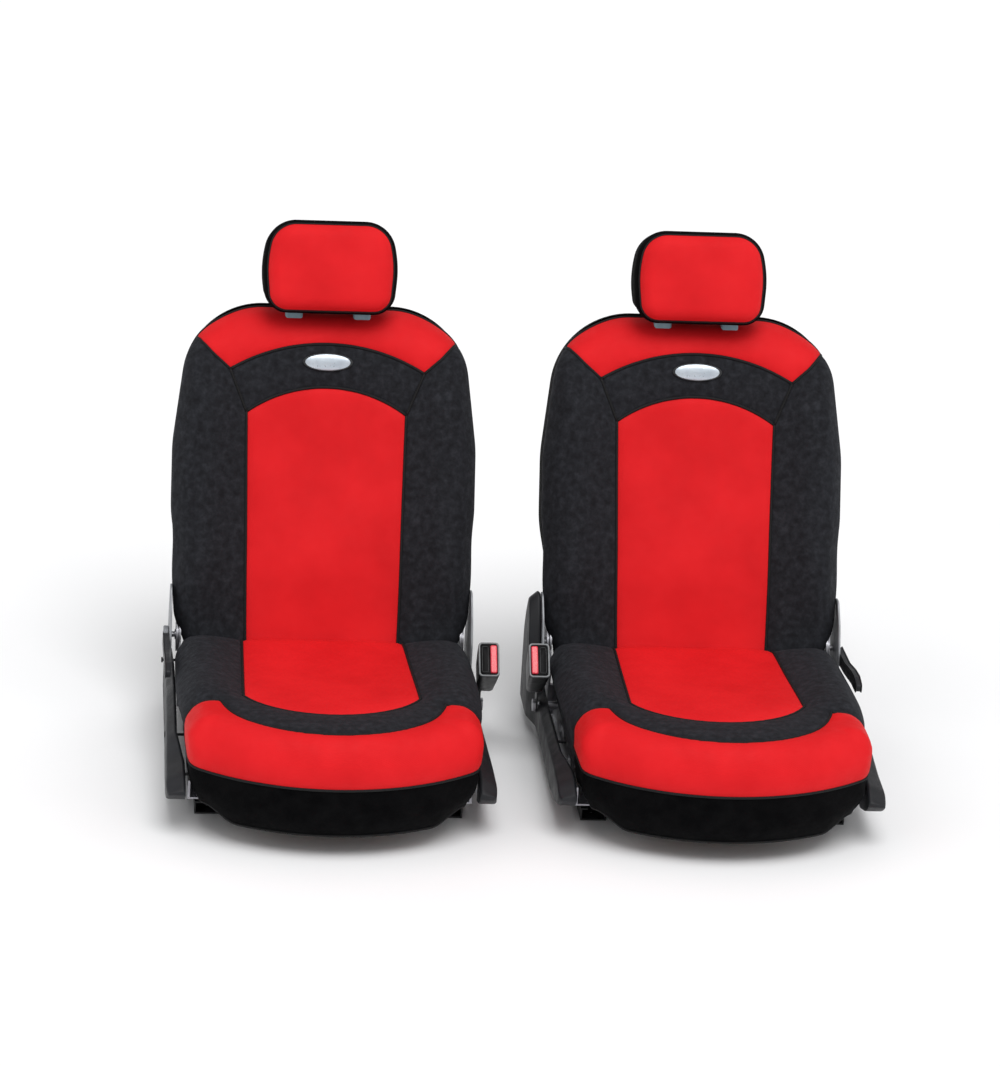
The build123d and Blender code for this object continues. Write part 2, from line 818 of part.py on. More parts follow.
with BuildPart() as trim_screws:
    for trim_x, side in ((outer_trim_x, -1), (inner_trim_x, 1)):
        for boss, base_x in (
            (trim_boss_front, frame_plate_x + plate_thickness),
            (trim_boss_mid, frame_plate_x + plate_thickness),
            (trim_boss_rear, bracket_x + bracket_thickness),
        ):
            with Locations(Location((side * base_x, *boss), (0, side * 90, 0))):
                Cylinder(2.5, trim_x - 4 - base_x, align=(Align.CENTER, Align.CENTER, Align.MIN))
            with Locations(Location((side * (trim_x - 4), *boss), (0, side * 90, 0))):
                Cylinder(4.9, 3, align=(Align.CENTER, Align.CENTER, Align.MIN))
                Cylinder(1.6, 8, align=(Align.CENTER, Align.CENTER, Align.MIN), mode=Mode.SUBTRACT)

tilt_sin = math.sin(math.radians(buckle_tilt))
tilt_cos = math.cos(math.radians(buckle_tilt))
buckle_plane = Plane(
    origin=(buckle_x, buckle_y, buckle_z),
    x_dir=(1, 0, 0),
    z_dir=(0, -tilt_sin, tilt_cos),
)
button_width = 44.0
button_thickness = 9.0
button_x = 8.0
button_depth = 20.0
button_proud = 1.5
pocket_depth = 27.0
slot_x = -6.0
slot_width = 44.0
slot_thickness = 8.0
slot_depth = 34.0

with BuildPart() as buckle_casing:
    with BuildSketch(buckle_plane):
        RectangleRounded(buckle_thickness, buckle_width, 6)
    extrude(amount=-buckle_length, taper=2)
    fillet(buckle_casing.faces().sort_by(Axis((0, 0, 0), (0, -tilt_sin, tilt_cos)))[0].edges(), 4)
    with BuildSketch(buckle_plane):
        with Locations((slot_x, 0)):
            RectangleRounded(slot_thickness, slot_width, 2)
    extrude(amount=-slot_depth, mode=Mode.SUBTRACT)
    with BuildSketch(buckle_plane):
        with Locations((button_x, 0)):
            Rectangle(button_thickness + 2 * button_fit, button_width + 2 * button_fit)
    extrude(amount=-pocket_depth, mode=Mode.SUBTRACT)

with BuildPart() as buckle_button:
    with BuildSketch(buckle_plane.offset(button_proud)):
        with Locations((button_x, 0)):
            Rectangle(button_thickness, button_width)
    extrude(amount=-button_depth)
    chamfer(buckle_button.faces().sort_by(Axis((0, 0, 0), (0, -tilt_sin, tilt_cos)))[-1].edges(), 0.8)

stalk_top_y = buckle_y + (buckle_length - 8) * tilt_sin
stalk_top_z = buckle_z - (buckle_length - 8) * tilt_cos
with BuildPart() as buckle_stalk:
    with BuildSketch(Plane.YZ.offset(frame_plate_x + 39.7)):
        with BuildLine():
            Polyline(
                (anchor_y - 13, anchor_z),
                (anchor_y + 13, anchor_z),
                (anchor_y + 15, anchor_z + 34),
                (stalk_top_y + 11, stalk_top_z + 8),
                (stalk_top_y - 9, stalk_top_z - 11),
                (anchor_y - 13, anchor_z + 22),
                close=True,
            )
        make_face()
        with Locations((anchor_y, anchor_z)):
            Circle(13)
            Circle(5.05, mode=Mode.SUBTRACT)
    extrude(amount=3)
    add(buckle_casing.part, mode=Mode.SUBTRACT)

with BuildPart() as recline_lever_plus:
    with BuildSketch(Plane.YZ.offset(lever_pocket_x + 1)):
        with BuildLine():
            Polyline(
                (pivot_y - 4, pivot_z + 14),
                (20, 168),
                (-42, 187),
                (-80, 192),
                (-110, 184),
                (-104, 171),
                (-58, 170),
                (20, 148),
                (pivot_y - 4, pivot_z - 12),
                close=True,
            )
        make_face()
        fillet(vertices().group_by(Axis.Y)[0] + vertices().sort_by(Axis.Z)[-2:], 5)
        with Locations((pivot_y, pivot_z)):
            Circle(15)
            Circle(lever_shaft_radius + lever_fit, mode=Mode.SUBTRACT)
    extrude(amount=10.5)
    fillet(recline_lever_plus.faces().sort_by(Axis.X)[-1].outer_wire().edges(), 2)
with BuildPart() as recline_lever:
    mirror(recline_lever_plus.part, about=Plane.YZ)

bar_reach = math.hypot(bar_front_y - bar_pivot_y, bar_front_z - bar_pivot_z)
bar_start_y = bar_pivot_y + 13 * (bar_front_y - bar_pivot_y) / bar_reach
bar_start_z = bar_pivot_z + 13 * (bar_front_z - bar_pivot_z) / bar_reach
with BuildPart() as slide_bar:
    with BuildLine() as bar_path:
        FilletPolyline(
            (-bar_x, bar_start_y, bar_start_z),
            (-bar_x, bar_front_y, bar_front_z),
            (bar_x, bar_front_y, bar_front_z),
            (bar_x, bar_start_y, bar_start_z),
            radius=24,
        )
    with BuildSketch(Plane(origin=bar_path.line @ 0, z_dir=bar_path.line % 0)):
        Circle(bar_radius)
    sweep(path=bar_path.line)
    for side in (-1, 1):
        with Locations(Location((side * bar_x, bar_pivot_y, bar_pivot_z), (0, 90, 0))):
            Cylinder(bar_sleeve_radius, 24)
    with Locations(Location((0, bar_pivot_y, bar_pivot_z), (0, 90, 0))):
        Cylinder(tube_radius + sleeve_fit, 2 * frame_plate_x, mode=Mode.SUBTRACT)

# ------------------------------------------------------------------
# place and write
# ------------------------------------------------------------------
seat_nodes = {
    "upper_tracks": upper_tracks.part,
    "cushion_frame": cushion_frame.part,
    "seat_pan": seat_pan.part,
    "cushion_foam": cushion_foam.part,
    "cushion_cover_centre": cushion_centre,
    "cushion_cover_band": cushion_band,
    "cushion_cover_roll": cushion_roll,
    "cushion_cover_skirt": cushion_skirt,
    "outer_trim": outer_trim.part,
    "inner_trim": inner_trim.part,
    "trim_screws": trim_screws.part,
    "buckle_stalk": buckle_stalk.part,
    "buckle_casing": buckle_casing.part,
    "buckle_button": buckle_button.part,
    "recline_lever": recline_lever.part,
    "slide_bar": slide_bar.part,
    "back_frame": back_frame.part,
    "back_foam": back_foam_solid,
    "back_cover_centre": back_centre,
    "back_cover_yoke": back_yoke,
    "back_cover_shoulder": back_shoulder,
    "back_cover_bolsters": back_bolsters,
    "back_cover_rear": back_rear,
    "badge": badge.part,
    "post_guides": post_guide_solids.part,
    "headrest_posts": headrest_posts.part,
    "headrest_foam": headrest_foam_solid,
    "headrest_cover_front": headrest_front,
    "headrest_cover_rear": headrest_rear,
}

for seat_name, seat_side in (("left", -1), ("right", 1)):
    seat_place = Location((seat_side * seat_pitch / 2, row_shift_y, 0))
    for node_name, node_shape in seat_nodes.items():
        with BuildPart() as placed:
            if seat_side < 0:
                add(node_shape)
            else:
                mirror(node_shape, about=Plane.YZ)
        located = seat_place * placed.part
        located.label = f"{seat_name}_{node_name}"
        export_step(located, f"parts/{seat_name}_{node_name}.step")

with BuildPart() as lower_tracks:
    for seat_side in (-1, 1):
        for rail_side in (-1, 1):
            with Locations((seat_side * seat_pitch / 2 + rail_side * rail_x, row_shift_y, 0)):
                add(lower_track.part)
lower_tracks.part.label = "lower_tracks"
export_step(lower_tracks.part, "parts/lower_tracks.step")
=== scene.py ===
import math

import bpy
import numpy as np
from mathutils import Matrix, Vector
from mathutils.bvhtree import BVHTree
from mathutils.geometry import delaunay_2d_cdt


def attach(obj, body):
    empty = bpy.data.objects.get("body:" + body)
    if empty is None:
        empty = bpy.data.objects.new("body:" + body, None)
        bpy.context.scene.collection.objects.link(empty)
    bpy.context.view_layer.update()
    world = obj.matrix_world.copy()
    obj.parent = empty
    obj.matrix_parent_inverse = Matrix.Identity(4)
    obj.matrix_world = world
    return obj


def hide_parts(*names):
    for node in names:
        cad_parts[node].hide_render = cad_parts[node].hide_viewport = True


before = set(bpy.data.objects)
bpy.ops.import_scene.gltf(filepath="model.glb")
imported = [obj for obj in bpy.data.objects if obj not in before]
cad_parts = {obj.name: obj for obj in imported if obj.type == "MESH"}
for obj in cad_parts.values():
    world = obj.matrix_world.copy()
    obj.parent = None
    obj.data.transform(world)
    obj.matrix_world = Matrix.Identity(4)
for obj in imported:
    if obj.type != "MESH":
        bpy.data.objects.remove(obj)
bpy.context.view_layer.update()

# ---------------------------------------------------------------- layout
# Each seat is drawn about x = 0 in metres, with y = 0 at its own origin, then shown at both places.
SEAT_X = 0.328
SHIFT = 0.065775
LEAN = math.radians(20.8)
SIN_LEAN, COS_LEAN = math.sin(LEAN), math.cos(LEAN)
SIDES = (("left", -1), ("right", 1))


def back3(x, s, t):
    """Seat-frame point: x across, s up the backrest face, t behind it."""
    x, s, t = np.broadcast_arrays(x, s, t)
    y = 0.075 + SHIFT + s * SIN_LEAN + t * COS_LEAN
    return np.stack([x, y, 0.165 + s * COS_LEAN - t * SIN_LEAN], -1)


def flat3(x, y, z):
    """Seat-frame point: x across, y back, z up from the floor."""
    x, y, z = np.broadcast_arrays(x, y, z)
    return np.stack([x, y + SHIFT, z], -1)


def smooth(a, b, v):
    """0 before a, 1 past b, an S curve between."""
    w = np.clip((np.asarray(v, float) - a) / (b - a), 0, 1)
    return w * w * (3 - 2 * w)


def lerp(a, b, w):
    return a + (b - a) * w


# ---------------------------------------------------------------- plane curves
def resample(points, step, closed=False):
    """The same line with even steps of about that length."""
    p = np.asarray(points, float)
    if closed:
        p = np.vstack([p, p[:1]])
    d = np.r_[0, np.cumsum(np.linalg.norm(np.diff(p, axis=0), axis=1))]
    n = max(2, int(round(d[-1] / step)))
    q = np.linspace(0, d[-1], n + 1)
    if closed:
        q = q[:-1]
    return np.stack([np.interp(q, d, p[:, k]) for k in range(p.shape[1])], -1)


def rounded(corners, step=0.002):
    """Closed outline of a polygon whose corners (x, y, r) are rounded."""
    pts, n = [], len(corners)
    for i in range(n):
        p = np.array(corners[i][:2])
        a = np.array(corners[i - 1][:2]) - p
        b = np.array(corners[(i + 1) % n][:2]) - p
        a, b = a / np.linalg.norm(a), b / np.linalg.norm(b)
        half = math.acos(float(np.clip(a @ b, -1, 1))) / 2
        r = corners[i][2]
        cut = r / math.tan(half)
        centre = p + (a + b) / np.linalg.norm(a + b) * r / math.sin(half)
        v0, v1 = p + a * cut - centre, p + b * cut - centre
        turn = math.atan2(v0[0] * v1[1] - v0[1] * v1[0], float(v0 @ v1))
        for w in np.linspace(0, 1, max(3, int(abs(turn) * r / step))):
            c, s = math.cos(turn * w), math.sin(turn * w)
            pts.append(centre + (c * v0[0] - s * v0[1], s * v0[0] + c * v0[1]))
    return resample(pts, step, True)


def mirrored(half, tip=()):
    """Right-half corners, bottom to top, then an optional corner on the axis."""
    return list(half) + list(tip) + [(-x, y, r) for x, y, r in reversed(half)]


def arc(a, m, b, n=40):
    """Circle arc through three points."""
    (ax, ay), (mx, my), (bx, by) = a, m, b
    d = 2 * (ax * (my - by) + mx * (by - ay) + bx * (ay - my))
    ux = ((ax**2 + ay**2) * (my - by) + (mx**2 + my**2) * (by - ay) + (bx**2 + by**2) * (ay - my)) / d
    uy = ((ax**2 + ay**2) * (bx - mx) + (mx**2 + my**2) * (ax - bx) + (bx**2 + by**2) * (mx - ax)) / d
    c = np.array([ux, uy])
    r = np.linalg.norm(np.array(a) - c)
    t0, tm, t1 = (math.atan2(p[1] - uy, p[0] - ux) for p in (a, m, b))
    tm, t1 = t0 + (tm - t0) % (2 * math.pi), t0 + (t1 - t0) % (2 * math.pi)
    if tm > t1:
        t1 -= 2 * math.pi
    t = np.linspace(t0, t1, n)
    return np.stack([ux + r * np.cos(t), uy + r * np.sin(t)], -1)


def inside(p, poly):
    """Which of the points lie in the polygon."""
    x, y = p[:, 0], p[:, 1]
    a, b = poly, np.roll(poly, -1, 0)
    hit = np.zeros(len(p), bool)
    for (x0, y0), (x1, y1) in zip(a, b):
        if y0 != y1:
            cross = (y0 > y) != (y1 > y)
            hit ^= cross & (x < (x1 - x0) * (y - y0) / (y1 - y0) + x0)
    return hit


def nearest(p, q):
    """Distance and index of the closest point of q for each point of p."""
    dist, index = np.empty(len(p)), np.empty(len(p), int)
    for i in range(0, len(p), 2000):
        d = np.linalg.norm(p[i : i + 2000, None] - q[None], axis=2)
        index[i : i + 2000] = d.argmin(1)
        dist[i : i + 2000] = d.min(1)
    return dist, index


def normals2(o):
    """Outward normals of a closed anticlockwise outline."""
    t = np.roll(o, -1, 0) - np.roll(o, 1, 0)
    t /= np.linalg.norm(t, axis=1)[:, None]
    return np.stack([t[:, 1], -t[:, 0]], -1)


def triangulate(outline, seams, h):
    """Triangles filling the outline, with the seams as edges."""
    fixed = [outline] + seams
    near = np.vstack([resample(f, h / 3, i == 0) for i, f in enumerate(fixed)])
    lo, hi = outline.min(0), outline.max(0)
    rows = []
    for j, y in enumerate(np.arange(lo[1], hi[1], h * 0.866)):
        xs = np.arange(0, hi[0] - lo[0] + h, h) + (h / 2 if j % 2 else 0)
        rows.append(np.stack([lo[0] + xs, np.full(len(xs), y)], -1))
    grid = np.vstack(rows)
    grid = grid[inside(grid, outline)]
    grid = grid[nearest(grid, near)[0] > 0.62 * h]
    verts, edges = [], []
    for i, f in enumerate(fixed):
        n0, n = len(verts), len(f)
        verts += [tuple(p) for p in f]
        edges += [(n0 + k, n0 + k + 1) for k in range(n - 1)]
        if i == 0:
            edges.append((n0 + n - 1, n0))
    verts += [tuple(p) for p in grid]
    out = delaunay_2d_cdt([Vector(v) for v in verts], edges, [], 0, 1e-5)
    v = np.array([tuple(p) for p in out[0]])
    f = np.array([t for t in out[2] if len(t) == 3])
    return v, f[inside(v[f].mean(1), outline)]


def vertex_normals(v, f):
    """Area-weighted normals of a triangle mesh."""
    n = np.zeros_like(v)
    fn = np.cross(v[f[:, 1]] - v[f[:, 0]], v[f[:, 2]] - v[f[:, 0]])
    for k in range(3):
        np.add.at(n, f[:, k], fn)
    return n / np.maximum(np.linalg.norm(n, axis=1), 1e-12)[:, None]


# ---------------------------------------------------------------- materials
def lin(code):
    """Linear RGBA of an sRGB hex code."""
    c = [int(code[i : i + 2], 16) / 255 for i in (0, 2, 4)]
    return [x / 12.92 if x <= 0.04045 else ((x + 0.055) / 1.055) ** 2.4 for x in c] + [1.0]


class Mat:
    """Small builder for a Principled material."""

    def __init__(self, name, rough, spec=0.5, metallic=0.0, sheen=0.0, sheen_rough=0.5, coat=0.0, tint=None):
        self.m = bpy.data.materials.new(name)
        self.m.use_nodes = True
        self.t = self.m.node_tree
        self.b = self.t.nodes["Principled BSDF"]
        self.b.inputs["Roughness"].default_value = rough
        self.b.inputs["Specular IOR Level"].default_value = spec
        self.b.inputs["Metallic"].default_value = metallic
        self.b.inputs["Sheen Weight"].default_value = sheen
        self.b.inputs["Sheen Roughness"].default_value = sheen_rough
        self.b.inputs["Coat Weight"].default_value = coat
        if tint:
            self.b.inputs["Sheen Tint"].default_value = tint

    def node(self, kind, **values):
        n = self.t.nodes.new(kind)
        for k, v in values.items():
            if k in n.inputs:
                n.inputs[k].default_value = v
            else:
                setattr(n, k.lower(), v)
        return n

    def link(self, a, b):
        self.t.links.new(a, b)

    def coords(self, uv=False):
        return self.node("ShaderNodeTexCoord").outputs["UV" if uv else "Object"]

    def noise(self, scale, detail=3.0, rough=0.5, distortion=0.0):
        n = self.node("ShaderNodeTexNoise", Scale=scale, Detail=detail, Roughness=rough,
                      Distortion=distortion)
        self.link(self.coords(), n.inputs["Vector"])
        return n.outputs["Fac"]

    def ramp(self, fac, *stops):
        r = self.node("ShaderNodeValToRGB")
        e = r.color_ramp.elements
        while len(e) < len(stops):
            e.new(0.5)
        for k, (pos, colour) in enumerate(stops):
            e[k].position = pos
            e[k].color = colour if not isinstance(colour, (int, float)) else (colour, colour, colour, 1)
        self.link(fac, r.inputs["Fac"])
        return r.outputs["Color"]

    def colour(self, socket):
        self.link(socket, self.b.inputs["Base Color"])

    def rough(self, socket):
        self.link(socket, self.b.inputs["Roughness"])

    def bump(self, *layers):
        """Layers of (height socket, distance in metres)."""
        last = None
        for height, distance in layers:
            n = self.node("ShaderNodeBump", Strength=1.0, Distance=distance)
            self.link(height, n.inputs["Height"])
            if last is not None:
                self.link(last, n.inputs["Normal"])
            last = n.outputs["Normal"]
        self.link(last, self.b.inputs["Normal"])

    def weave(self, pitch):
        """Crossed ribs of that pitch in metres, from the panel's own cloth coordinates."""
        c = self.coords(uv=True)
        both_ribs = self.node("ShaderNodeMath")
        both_ribs.operation = "MULTIPLY"
        for k, axis in enumerate("XY"):
            w = self.node("ShaderNodeTexWave", Scale=0.314 / pitch, Distortion=0.6, Detail=1.0)
            w.wave_type, w.wave_profile, w.bands_direction = "BANDS", "SIN", axis
            self.link(c, w.inputs["Vector"])
            self.link(w.outputs["Fac"], both_ribs.inputs[k])
        return both_ribs.outputs[0]


def plain(name, rough, tone, tone_stops, gloss=None, gloss_stops=None, grain=None, **shader):
    """Material with a colour noise, a roughness noise and a bump noise (scale, detail, metres)."""
    m = Mat(name, rough, **shader)
    m.colour(m.ramp(m.noise(*tone), *((at, lin(code)) for at, code in tone_stops)))
    if gloss:
        m.rough(m.ramp(m.noise(*gloss), *gloss_stops))
    if grain:
        m.bump((m.noise(*grain[:2]), grain[2]))
    return m.m


def make_materials():
    out = {}
    # red knit laid over thin foam
    m = Mat("red_knit", 0.66, spec=0.13, sheen=0.10, sheen_rough=0.35, tint=lin("ff4a10"))
    tone = m.noise(9.0, 3.0)
    m.colour(m.ramp(tone, (0.30, lin("ce151b")), (0.55, lin("d91a20")), (0.75, lin("df1e23"))))
    m.rough(m.ramp(m.noise(60.0, 2.0), (0.3, 0.56), (0.7, 0.68)))
    m.bump((m.weave(0.0016), 0.00022), (m.noise(700.0, 2.0), 0.00010), (m.noise(16.0, 2.0), 0.0006))
    out["red"] = m.m
    # brushed, mottled black suede-like knit
    m = Mat("black_suede", 0.86, spec=0.12, sheen=0.03, sheen_rough=0.55, tint=lin("b8bcc8"))
    cloud = m.noise(85.0, 5.0, 0.62, distortion=0.15)
    m.colour(m.ramp(cloud, (0.32, lin("18181b")), (0.52, lin("202125")), (0.76, lin("2c2d32"))))
    m.rough(m.ramp(cloud, (0.35, 0.92), (0.70, 0.76)))
    m.bump((m.noise(1300.0, 3.0), 0.00030), (cloud, 0.0005), (m.noise(14.0, 2.0), 0.0014))
    out["suede"] = m.m
    # plain black stretch knit
    m = Mat("black_knit", 0.86, spec=0.05, sheen=0.008, sheen_rough=0.5, tint=lin("9a9ca4"))
    m.colour(m.ramp(m.noise(30.0, 3.0), (0.35, lin("030304")), (0.7, lin("0a0a0b"))))
    m.rough(m.ramp(m.noise(90.0, 2.0), (0.3, 0.76), (0.7, 0.88)))
    m.bump((m.weave(0.0022), 0.00035), (m.noise(900.0, 2.0), 0.00012), (m.noise(12.0, 2.0), 0.0016))
    out["knit"] = m.m
    # grained moulded plastic of the side trims
    m = Mat("trim_plastic", 0.52, spec=0.30)
    m.colour(m.ramp(m.noise(14.0, 4.0), (0.35, lin("1a1b1e")), (0.7, lin("222327"))))
    m.rough(m.ramp(m.noise(45.0, 4.0), (0.3, 0.42), (0.7, 0.58)))
    v = m.node("ShaderNodeTexVoronoi", Scale=1100.0)
    m.link(m.coords(), v.inputs["Vector"])
    m.bump((v.outputs["Distance"], 0.00018), (m.noise(25.0, 2.0), 0.0004))
    out["trim"] = m.m
    # piping and binding tape
    out["binding"] = plain("binding", 0.70, (150.0, 2.0), ((0.3, "050506"), (0.7, "0c0c0e")),
                           grain=(1400.0, 2.0, 0.0002), spec=0.3)
    # smooth satin plastic of the buckle, its rim and its button
    out["buckle"] = plain("buckle_plastic", 0.38, (50.0, 3.0), ((0.3, "17181a"), (0.7, "222426")),
                          (120.0, 3.0), ((0.3, 0.30), (0.7, 0.46)), (1600.0, 2.0, 0.00008))
    out["rim"] = plain("buckle_rim", 0.42, (60.0, 3.0), ((0.3, "6d7072"), (0.7, "828587")),
                       (160.0, 3.0), ((0.3, 0.36), (0.7, 0.5)), (1600.0, 2.0, 0.00008))
    out["button"] = plain("button_red", 0.30, (40.0, 2.0), ((0.3, "d62b3c"), (0.7, "e23a4a")),
                          (200.0, 3.0), ((0.3, 0.24), (0.7, 0.38)), (1500.0, 2.0, 0.00005),
                          spec=0.55, coat=0.25)
    # painted, zinc plated and bare pressed steel, chromed posts
    out["painted"] = plain("painted_steel", 0.42, (30.0, 4.0), ((0.3, "17181a"), (0.72, "202225")),
                           (80.0, 4.0), ((0.3, 0.34), (0.7, 0.52)), (350.0, 3.0, 0.00012))
    out["zinc"] = plain("zinc_steel", 0.36, (35.0, 5.0, 0.7), ((0.3, "9a9aa0"), (0.7, "b9b9be")),
                        (110.0, 5.0), ((0.3, 0.30), (0.7, 0.50)), (420.0, 3.0, 0.00008), metallic=1.0)
    out["plate"] = plain("recliner_plate", 0.48, (26.0, 4.0), ((0.3, "84868a"), (0.7, "9a9ca0")),
                         (90.0, 4.0), ((0.3, 0.42), (0.7, 0.60)), (500.0, 3.0, 0.0001), metallic=0.35)
    out["chrome"] = plain("post_chrome", 0.08, (20.0, 2.0), ((0.3, "d0d2d6"), (0.7, "dcdde0")),
                          (240.0, 4.0), ((0.35, 0.05), (0.7, 0.16)), metallic=1.0)
    # blue-grey sleeves for the posts
    out["sleeve"] = plain("sleeve_plastic", 0.45, (60.0, 3.0), ((0.3, "76909c"), (0.7, "8ba3ad")),
                          (150.0, 3.0), ((0.3, 0.38), (0.7, 0.52)), (1300.0, 2.0, 0.00008), spec=0.45)
    # plain satin metal badge
    out["badge"] = plain("badge_metal", 0.40, (70.0, 3.0), ((0.3, "b8c2cc"), (0.7, "c8d1d9")),
                         (300.0, 3.0), ((0.3, 0.26), (0.7, 0.40)), (900.0, 2.0, 0.00001),
                         spec=0.4, metallic=0.45)
    # bare foam under the cushion, and the floor
    out["foam"] = plain("foam", 0.95, (60.0, 4.0), ((0.3, "b9b08f"), (0.7, "d2caa9")),
                        grain=(500.0, 4.0, 0.0008), spec=0.1)
    out["floor"] = plain("studio_floor", 0.75, (1.2, 2.0), ((0.3, "f4f4f5"), (0.7, "f8f8f9")),
                         grain=(60.0, 3.0, 0.0003), spec=0.15)
    return out


MATS = make_materials()


# ---------------------------------------------------------------- mesh helpers
def build(name, verts, faces, mat, uv=None, smooth_shade=True):
    """Mesh with one material; uv gives each vertex its place on the flat cloth."""
    me = bpy.data.meshes.new(name)
    me.from_pydata([tuple(map(float, v)) for v in verts], [], [tuple(map(int, f)) for f in faces])
    me.validate()
    if uv is not None and len(uv) == len(me.vertices):
        layer = me.uv_layers.new(name="cloth")
        index = np.empty(len(me.loops), np.int32)
        me.loops.foreach_get("vertex_index", index)
        layer.data.foreach_set("uv", np.asarray(uv, float)[index].ravel())
    me.materials.append(MATS[mat])
    if smooth_shade:
        me.polygons.foreach_set("use_smooth", [True] * len(me.polygons))
    me.update()
    return me


def mirror_mesh(mesh):
    mesh.transform(Matrix.Scale(-1, 4, (1, 0, 0)))
    mesh.flip_normals()
    return mesh


def place(mesh, name, side, body, replaces=(), mirror=False):
    """Shows a seat-frame mesh on one seat; a mirrored one is drawn for the left seat."""
    if mirror and side > 0:
        mesh = mirror_mesh(mesh.copy())
    o = bpy.data.objects.new(name, mesh)
    bpy.context.collection.objects.link(o)
    o.location.x = side * SEAT_X
    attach(o, body)
    if replaces:
        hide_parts(*replaces)


def both(mesh, name, body, replaces=(), mirror=False):
    """The same piece on both seats."""
    for seat, side in SIDES:
        place(mesh, f"{seat}_{name}", side, f"{seat}_{body}", [f"{seat}_{r}" for r in replaces],
              mirror)


def tube(points, radius, sides=8, closed=False, up=(0.0, -0.7, 0.7)):
    """Verts and faces of a tube along points; up is where its first side looks."""
    p = np.asarray(points, float)
    n = len(p)
    t = (np.roll(p, -1, 0) - np.roll(p, 1, 0)) if closed else np.gradient(p, axis=0)
    t /= np.maximum(np.linalg.norm(t, axis=1), 1e-12)[:, None]
    verts, faces = [], []
    u = np.array(up)
    for i in range(n):
        u = u - (u @ t[i]) * t[i]
        u = u / np.linalg.norm(u)
        w = np.cross(t[i], u)
        for k in range(sides):
            a = 2 * math.pi * k / sides
            verts.append(p[i] + radius * (math.cos(a) * u + math.sin(a) * w))
    for i in range(n if closed else n - 1):
        j = (i + 1) % n
        for k in range(sides):
            m = (k + 1) % sides
            faces.append((i * sides + k, i * sides + m, j * sides + m, j * sides + k))
    if not closed:
        faces.append(tuple(reversed(range(sides))))
        faces.append(tuple((n - 1) * sides + k for k in range(sides)))
    return np.array(verts), faces


def join(parts):
    """Several (verts, faces) as one."""
    verts, faces, base = [], [], 0
    for v, f in parts:
        verts.append(np.asarray(v))
        faces += [tuple(base + i for i in q) for q in f]
        base += len(v)
    return np.vstack(verts), faces


def strip(rows):
    """Quads between successive closed rows of equal length. rows: k x n x 3."""
    k, n = len(rows), len(rows[0])
    faces = []
    for a in range(k - 1):
        for i in range(n):
            j = (i + 1) % n
            faces.append((a * n + i, a * n + j, (a + 1) * n + j, (a + 1) * n + i))
    return np.vstack(rows), faces


def edge_curve(*pieces):
    """Closed outline from open curves; each (points, cut) is blended into the next over cut."""
    out = []
    n = len(pieces)
    for i, (pts, _) in enumerate(pieces):
        before, after = pieces[i - 1][1], pieces[i][1]
        p = resample(pts, 0.001)
        a, b = int(before * 1000), int(after * 1000)
        out.append(p[a : len(p) - b])
        q = resample(pieces[(i + 1) % n][0], 0.001)
        p0, p1, p2 = p[len(p) - 1 - b], p[-1], q[min(b, len(q) - 1)]
        for w in np.linspace(0, 1, 24)[1:-1]:
            out.append(((1 - w) ** 2 * p0 + 2 * w * (1 - w) * p1 + w**2 * p2)[None])
    return resample(np.vstack(out), 0.002, True)


PANEL_STEP, FINE_STEP, SAME_POINT = 0.0065, 0.0015, 1e-6


